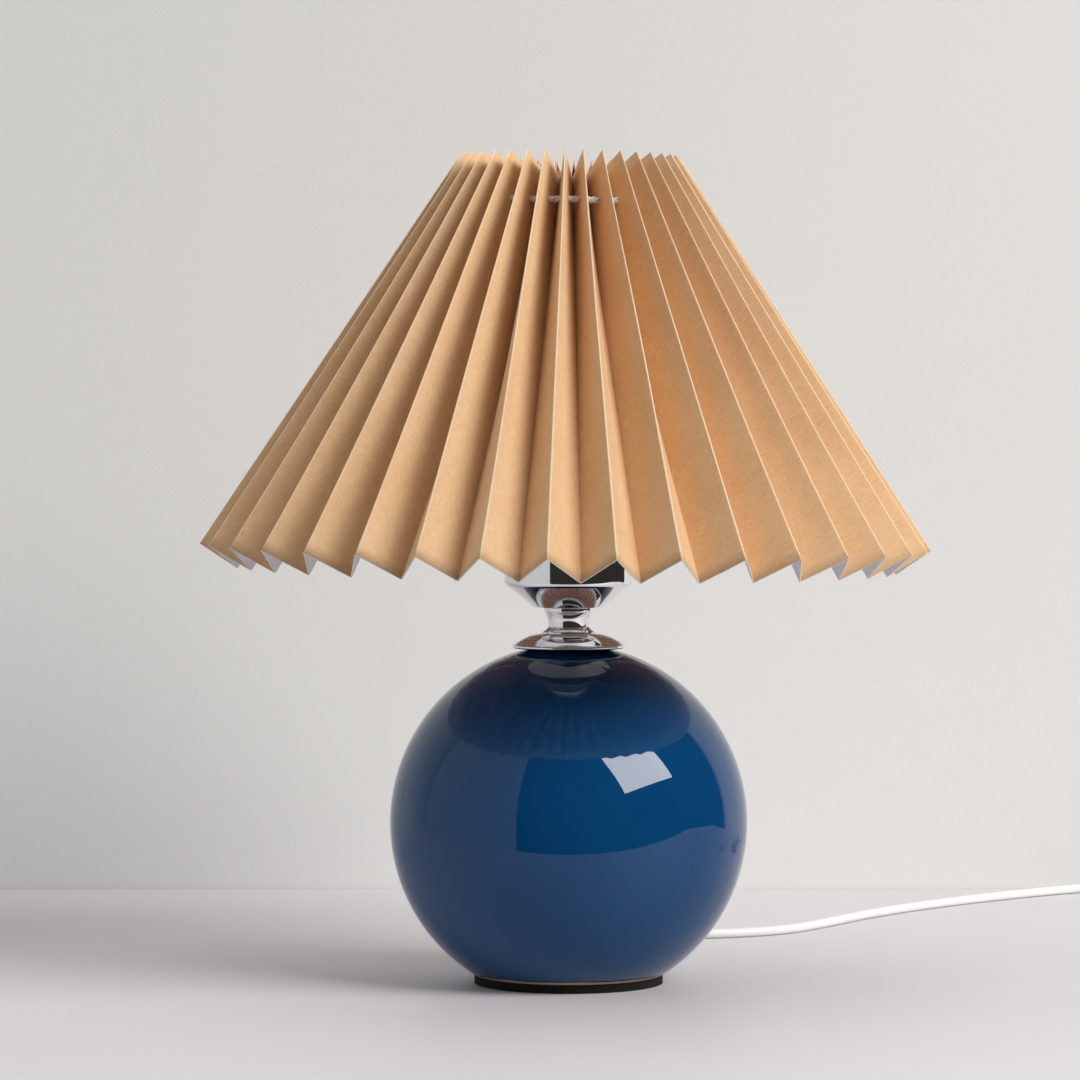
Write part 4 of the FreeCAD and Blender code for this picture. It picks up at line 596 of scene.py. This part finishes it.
# ---------------------------------------------------------------------------------------------
# Vase cap and neck spool. The cap is a domed brass turning that closes the ball's mouth, and
# the spool above it has a flared foot, a waist and a collar. Both are polished and chromed.
# ---------------------------------------------------------------------------------------------
def chrome():
    """Mirror chrome: almost even, with a breath of smudges and the softest polishing waves."""
    finish = Finish("chrome")
    smudge, wave = finish.noise(0.009, 4.0, 0.6), finish.noise(0.006, 1.0)
    return finish.shade(Base_Color=finish.mixed((0.80, 0.80, 0.81), (0.86, 0.86, 0.87), smudge), Metallic=1.0,
                        Roughness=0.025 + 0.05 * smudge ** 2.0, Normal=finish.bump(wave, 0.000006))


CHROME = chrome()
cap_line = np.vstack([
    [(0.0051, 0.13765), (0.0113, 0.13765), (0.0116, 0.13795), (0.0116, 0.14065)],
    arc((0.0230, 0.14065), (0.0230, 0.14245), 0.0009, 13),
    arc((0.0230, 0.14245), (0.01145, 0.14705), 0.0230, 40)[1:],
    [(0.0051, 0.14705)]])
cap = turned("domed_cap", cap_line, "root", CHROME, 192)
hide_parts("vase_cap")

spool_line = np.vstack([
    [(0.0051, 0.14705), (0.0111, 0.14705), (0.0112, 0.14715)],
    arc((0.0112, 0.14745), (0.00905, 0.14915), -0.0045, 12),
    arc((0.00845, 0.14955), (0.01015, 0.15595), -0.0120, 28),
    arc((0.01015, 0.15615), (0.0104, 0.15640), 0.00025, 5),
    arc((0.0104, 0.15745), (0.0101, 0.15775), 0.0003, 5),
    [(0.0051, 0.15775)]])
spool = turned("waisted_spool", spool_line, "root", CHROME, 160)
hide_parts("neck_spool")


# ---------------------------------------------------------------------------------------------
# Cup. Spun brass sheet, chromed: a cone opens into a straight band, 54 mm across. Its rounded
# shoulder catches the light as one bright line, and a nut in its floor clamps it to the spool.
# ---------------------------------------------------------------------------------------------
CUP_RADIUS, CUP_INNER_RADIUS, CUP_FLOOR, CUP_RIM, CUP_BORE = 0.0271, 0.0259, 0.15775, 0.19155, 0.0051
cup_line = eased([
    (CUP_BORE, CUP_FLOOR), (0.0149, CUP_FLOOR), (CUP_RADIUS, 0.16755), (CUP_RADIUS, CUP_RIM),
    (CUP_INNER_RADIUS, CUP_RIM), (CUP_INNER_RADIUS, 0.168125), (0.014478, 0.15895), (CUP_BORE, 0.15895)],
    (0.00015, 0.0020, 0.0034, 0.0004, 0.0004, 0.0022, 0.0008, 0.00015), 12)
cup_piece = turned("spun_cup", cup_line, "root", CHROME, 192)
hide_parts("cup")


# ---------------------------------------------------------------------------------------------
# Lampholder. A moulded black cap and threaded shell round a porcelain core, with a screw shell
# and a spring contact of brass. The ring nut screws down its outside and holds the shade.
# ---------------------------------------------------------------------------------------------
def black_resin(name):
    """Moulded black resin: satin, with a slight mould texture and dust in it."""
    finish = Finish(name)
    grain, dust = finish.noise(0.0006, 3.0), finish.noise(0.006, 5.0, 0.7)
    return finish.shade(Base_Color=finish.mixed((0.012, 0.012, 0.012), (0.035, 0.034, 0.033), dust),
                        Roughness=0.36 + 0.14 * dust, Normal=finish.bump(grain, 0.00004))


RESIN = black_resin("black_resin")
HOLDER_RESIN = black_resin("holder_resin")
HOLDER_RESIN.shade(Normal=threaded(HOLDER_RESIN, pitch=0.0025, low=0.1967, high=0.2175, inner=0.0192,
                                   outer=0.0200, depth=0.0008))
dress(RESIN, "holder_cap", "ring_nut", "bulb_insulator")
dress(HOLDER_RESIN, "holder_shell")
PORCELAIN = Finish("porcelain")
speck = PORCELAIN.noise(0.0008, 4.0, 0.7)
PORCELAIN.shade(Base_Color=PORCELAIN.mixed((0.74, 0.72, 0.68), (0.83, 0.82, 0.79), speck), Roughness=0.55,
                Normal=PORCELAIN.bump(speck, 0.00004))
dress(PORCELAIN, "holder_core")
BULB_THREAD_PITCH, THREAD_RUN_OUT = 0.0036, 0.002


def screw_wall(low, high, inner, outer, depth, columns=96, rows=120):
    """A thin rolled wall whose two skins wave together: radius + depth cos(height / pitch - turn)."""
    angle = np.linspace(0, 2 * np.pi, columns, endpoint=False)
    rise = np.linspace(low, high, rows)[:, None]
    fade = np.clip((rise - low) / THREAD_RUN_OUT, 0, 1) * np.clip((high - rise) / THREAD_RUN_OUT, 0, 1)
    wave = depth * fade * np.cos(2 * np.pi * (rise / BULB_THREAD_PITCH) - angle)
    skins = [(radius + wave) * np.stack([np.cos(angle), np.sin(angle)])[:, None, :] for radius in (outer, inner)]
    height = np.broadcast_to(rise, (rows, columns))
    outside, inside = [np.stack([*skin, height], axis=-1) for skin in skins]
    return np.concatenate([outside, inside[::-1]])


sleeve = ready(surface("screw_sleeve", screw_wall(0.19245, 0.21745, 0.01335, 0.0136, 0.0002), (True, True)),
               "root", BRASS)
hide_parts("screw_shell")
dress(BRASS, "centre_contact", "terminal_screws")


# ---------------------------------------------------------------------------------------------
# Shade carrier. A flat ring on the lampholder, three wires that rise and lean outwards, and a
# wire hoop that the cover's inner folds rest on. It is welded, then powder coated white.
# ---------------------------------------------------------------------------------------------
def powder_coat():
    """White powder coat: a faint orange peel under a thin gloss."""
    finish = Finish("white_paint")
    peel, tone = finish.noise(0.0007, 2.0), finish.noise(0.02)
    return finish.shade(Base_Color=finish.mixed((0.76, 0.76, 0.75), (0.83, 0.83, 0.82), tone),
                        Roughness=0.33 + 0.12 * peel, Coat_Weight=0.3, Coat_Roughness=0.2,
                        Normal=finish.bump(peel, 0.00006))


dress(powder_coat(), "fitter_ring", "carrier_arms", "carrier_hoop")


# ---------------------------------------------------------------------------------------------
# Pleated cover. A strip of tan linen bonded to white PVC, 196 mm deep, pressed into 36 pleats
# and closed into a cone. The linen shows outside, the PVC inside and as a thin white cut edge.
# ---------------------------------------------------------------------------------------------
PLEATS, PANEL, SLANT, SHEET = 36, 0.0216, 0.1958, 0.0005
OUTER_FOOT, OUTER_TOP = np.array([0.1530, 0.1834]), np.array([0.0456, 0.34712])
INNER_FOOT, INNER_TOP = np.array([0.13855, 0.17358]), np.array([0.02776, 0.33534])
FIRST_FOLD, HOOP_LEVEL, TILT = np.radians(-2.9), 0.3073, np.radians(0.65)


def askew(points):
    """Points turned by the tilt about Y at the hoop: the cover sits down a little on the right."""
    x, y, z = points[..., 0], points[..., 1], points[..., 2] - HOOP_LEVEL
    turned_x, turned_z = x * np.cos(TILT) + z * np.sin(TILT), z * np.cos(TILT) - x * np.sin(TILT)
    return np.stack([turned_x, y, turned_z + HOOP_LEVEL], axis=-1)


def fold_lines(rise, seed):
    """Every fold's line: straight from foot to top, but for a slow drift of about half a millimetre."""
    chance = np.random.default_rng(seed)
    number = np.arange(2 * PLEATS)
    angle = FIRST_FOLD - np.pi / 2 + number * np.pi / PLEATS
    outer = (number % 2 == 0)[:, None, None]
    line = np.where(outer, OUTER_FOOT + (OUTER_TOP - OUTER_FOOT) * rise[None, :, None],
                    INNER_FOOT + (INNER_TOP - INNER_FOOT) * rise[None, :, None])
    drift = sum(chance.normal(0, size, (2 * PLEATS, 1))
                * np.sin(np.pi * (wave * rise + chance.random((2 * PLEATS, 1))))
                for wave, size in ((0.7, 0.00035), (1.9, 0.00016)))
    turn = angle[:, None] + drift / np.maximum(line[..., 0], 0.06)
    radius = line[..., 0] + 0.4 * np.roll(drift, 5, axis=0) * (1 - rise) * outer[..., 0]
    return np.stack([radius * np.cos(turn), radius * np.sin(turn), line[..., 1]], axis=-1)


def pleated_sheet(rows=40, crease=0.0006, seed=11):
    """The folded sheet's middle skin, rows by columns.

    Near a fold the columns follow a parabola with its ends one crease width along both panels.
    Between folds they run straight, plus a bulge of sin(pi x) across the panel that grows and
    fades on the way up, as stiff cloth does that is bent a little out of its plane.
    """
    rise = np.linspace(0, 1, rows)
    fold = fold_lines(rise, seed)
    after, before = np.roll(fold, -1, axis=0) - fold, np.roll(fold, 1, axis=0) - fold
    width = np.linalg.norm(after, axis=2, keepdims=True)
    ahead, behind = after / width, before / np.linalg.norm(before, axis=2, keepdims=True)
    near = np.linspace(-1, 1, 7)[None, None, :, None]
    corner = (fold[:, :, None, :] + crease * ((1 - near) ** 2 / 4 * behind[:, :, None, :]
                                              + (1 + near) ** 2 / 4 * ahead[:, :, None, :]))
    share = np.linspace(0, 1, 9)[1:-1][None, None, :, None]
    start, end = fold + crease * ahead, fold + after - crease * ahead
    flat = start[:, :, None, :] * (1 - share) + end[:, :, None, :] * share
    normal = np.cross(np.gradient(fold, axis=1), ahead)
    normal /= np.linalg.norm(normal, axis=2, keepdims=True)
    chance = np.random.default_rng(seed + 1)
    bulge = (chance.normal(0.00025, 0.00035, (2 * PLEATS, 1)) * np.sin(np.pi * rise ** 0.8)
             + chance.normal(0, 0.00022, (2 * PLEATS, 1))
             * np.sin(3 * np.pi * rise + chance.random((2 * PLEATS, 1)) * 6))
    flat = flat + (bulge[:, :, None, None] * np.sin(np.pi * share)) * normal[:, :, None, :]
    panels = np.concatenate([corner, flat], axis=2)
    columns = panels.transpose(1, 0, 2, 3).reshape(rows, -1, 3)
    reach = np.concatenate([near.ravel() * crease, crease + share.ravel() * (PANEL - 2 * crease)])
    across = (np.arange(2 * PLEATS)[:, None] * PANEL + reach).ravel()
    across = np.append(across, 2 * PLEATS * PANEL + reach[0])
    uv = np.stack(np.meshgrid(across, rise * SLANT), axis=-1)
    return askew(columns), uv


# The last width is that of a painted highlight along each outer fold, where the ridge catches the light.
YARN_ACROSS, YARN_ALONG, RIDGE_HIGHLIGHT_WIDTH = 0.00052, 0.00056, 0.0007


def on_strip(finish):
    """The flat strip's place on the cover, whole and as metres across and up."""
    strip = finish.node("ShaderNodeUVMap", {"uv_map": "strip"})
    split = finish.node("ShaderNodeSeparateXYZ", inputs={0: strip})
    u, v = [Signal(finish, output) for output in split.socket.node.outputs][:2]
    return strip, u, v


def linen():
    """Linen with thick and thin yarns both ways, and a painted pale highlight along its outer folds."""
    finish = Finish("linen_laminate")
    strip, u, v = on_strip(finish)
    warp = finish.noise(1.0, 3.0, 0.6, (2100, 200, 1), strip)
    weft = finish.noise(1.0, 3.0, 0.6, (180, 1900, 1), strip)
    blotch = finish.noise(1.0, 3.0, 0.5, (40, 40, 1), strip)
    weave = 0.5 + 0.5 * u.math("SINE", u * (np.pi / YARN_ACROSS)) * v.math("SINE", v * (np.pi / YARN_ALONG))
    tone = 0.35 * warp + 0.45 * weft + 0.2 * blotch
    colour = finish.mixed((0.69, 0.435, 0.225), (0.90, 0.635, 0.395), ((tone - 0.5) * 3.2 + 0.5).held())
    colour = finish.mixed(colour, (0.50, 0.27, 0.11), 0.22 * weave)
    # Painted highlight: a cream line along every outer fold, where the ridge catches the light.
    painted_ridge_highlight = (1.0 - u.math("PINGPONG", u, PANEL) / RIDGE_HIGHLIGHT_WIDTH).held()
    return finish.shade(Base_Color=finish.mixed(colour, (0.97, 0.83, 0.62), 0.6 * painted_ridge_highlight), Roughness=0.9,
                        Specular_IOR_Level=0.15, Normal=finish.bump(0.4 * weave + 0.6 * tone, 0.00010))


# Above the first height the lining is painted brown for light through the linen and shade inside the cover, fading
# in over the second.
PAINTED_GLOW_START, PAINTED_GLOW_FADE = 0.012, 0.012


def lining():
    """White PVC film with a faint calender grain, painted brown above its lowest edge for light through the linen
    and shade inside the cover.
    """
    finish = Finish("pvc_lining")
    above_hem = on_strip(finish)[2]
    grain = finish.noise(0.0009, 3.0)
    white = finish.mixed((0.88, 0.86, 0.865), (0.94, 0.92, 0.925), grain)
    # Painted light and shade: this brown stands for light coming through the linen into the dim inside of the
    # cover; the lowest edge stays white.
    painted_glow_brown = finish.mixed((0.70, 0.485, 0.39), (0.77, 0.54, 0.44), finish.noise(0.05, 3.0))
    painted_glow_share = ((above_hem - PAINTED_GLOW_START) / PAINTED_GLOW_FADE).held()
    return finish.shade(Base_Color=finish.mixed(white, painted_glow_brown, painted_glow_share), Roughness=0.5,
                        Normal=finish.bump(grain, 0.00003))


folded, strip_place = pleated_sheet()
cover = surface("linen_cover", folded, (False, True), strip_place, 60, weld=False)
for skin in (linen(), lining()):
    cover.data.materials.append(skin.material)
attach(cover, "shade_cover")
sheet = cover.modifiers.new("sheet", "SOLIDIFY")
sheet.thickness, sheet.offset = SHEET, 0.0
sheet.material_offset, sheet.material_offset_rim = 1, 1
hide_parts("pleated_cover")


# ---------------------------------------------------------------------------------------------
# Draw string. Soft cotton string of three strands, threaded through a hole in every panel near
# the top. It draws the pleats in to the cone's small end and shows in the gaps between folds.
# ---------------------------------------------------------------------------------------------
STRING_RADIUS, STRING_LEVEL, STRAND_RADIUS, STRANDS, LAY = 0.04640, 0.3266, 0.00070, 3, 0.0075


def strands(line, radius, count, lay, sides=8):
    """Twisted strands round a closed line: each tube's middle circles the line once every lay."""
    forward = np.roll(line, -1, axis=0) - np.roll(line, 1, axis=0)
    forward /= np.linalg.norm(forward, axis=1, keepdims=True)
    up = np.array([0, 0, 1.0])
    side = np.cross(forward, up)
    side /= np.linalg.norm(side, axis=1, keepdims=True)
    up = np.cross(side, forward)
    length = np.linalg.norm(np.roll(line, -1, axis=0) - line, axis=1).sum()
    turn = np.linspace(0, 2 * np.pi * round(length / lay), len(line), endpoint=False)
    ring = np.linspace(0, 2 * np.pi, sides, endpoint=False)
    tubes = []
    for strand in range(count):
        phase = turn + 2 * np.pi * strand / count
        middle = line + radius * (np.cos(phase)[:, None] * side + np.sin(phase)[:, None] * up)
        section = np.cos(ring)[None, :, None] * side[:, None] + np.sin(ring)[None, :, None] * up[:, None]
        tubes.append(middle[:, None] + radius * 1.08 * section)
    return tubes


def cotton():
    """Grey-white cotton: fuzzy fibre, handled a little greyer in places."""
    finish = Finish("cotton_string")
    fibre, dirt = finish.noise(0.0004, 4.0, 0.7), finish.noise(0.004, 3.0)
    grey_white = finish.mixed((0.66, 0.66, 0.74), (0.93, 0.93, 0.99), (0.6 * fibre + 0.5 * dirt).held())
    return finish.shade(Base_Color=grey_white, Roughness=0.95, Sheen_Weight=0.3, Normal=finish.bump(fibre, 0.0002))


STRING = cotton()
around = np.linspace(0, 2 * np.pi, 1152, endpoint=False)
pull = STRING_RADIUS + 0.0002 * np.sin(PLEATS * around + 0.4) + 0.0001 * np.sin(7 * around)
sag = STRING_LEVEL + 0.00012 * np.sin(11 * around)
string_line = askew(np.stack([pull * np.cos(around), pull * np.sin(around), sag], axis=1))
string = [ready(surface(f"string_strand_{number}", tube, (True, True)), "shade_cover", STRING)
          for number, tube in enumerate(strands(string_line, STRAND_RADIUS, STRANDS, LAY), 1)]
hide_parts("draw_string")


# ---------------------------------------------------------------------------------------------
# Bulb. A plastic-clad LED bulb in the lampholder: a rolled screw cap, a ribless white housing,
# the board that its diodes sit on, and an opal dome.
# ---------------------------------------------------------------------------------------------
NICKEL = plated("bulb_metal", (0.77, 0.77, 0.76), 0.18, 0.0006, 0.000008)
thread = ready(surface("bulb_thread", screw_wall(0.20195, 0.22295, 0.01215, 0.0126, 0.0004), (True, True)),
               "bulb", NICKEL)
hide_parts("bulb_cap")
dress(NICKEL, "bulb_tip")
dress(MOULDED, "bulb_housing", "led_board")
OPAL = Finish("opal_dome")
haze = OPAL.noise(0.02)
OPAL.shade(Base_Color=OPAL.mixed((0.86, 0.86, 0.84), (0.90, 0.90, 0.88), haze), Roughness=0.22 + 0.06 * haze,
           Subsurface_Weight=0.25, Subsurface_Radius=(0.004, 0.004, 0.004))
dome_line = np.vstack([arc((0.02862, 0.26295), (0.0, 0.30195), 0.030, 60),
                       arc((0.0, 0.30075), (0.02737, 0.26295), -0.0288, 40)])
dome = turned("opal_shell", dome_line, "bulb", OPAL, 128)
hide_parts("bulb_dome")
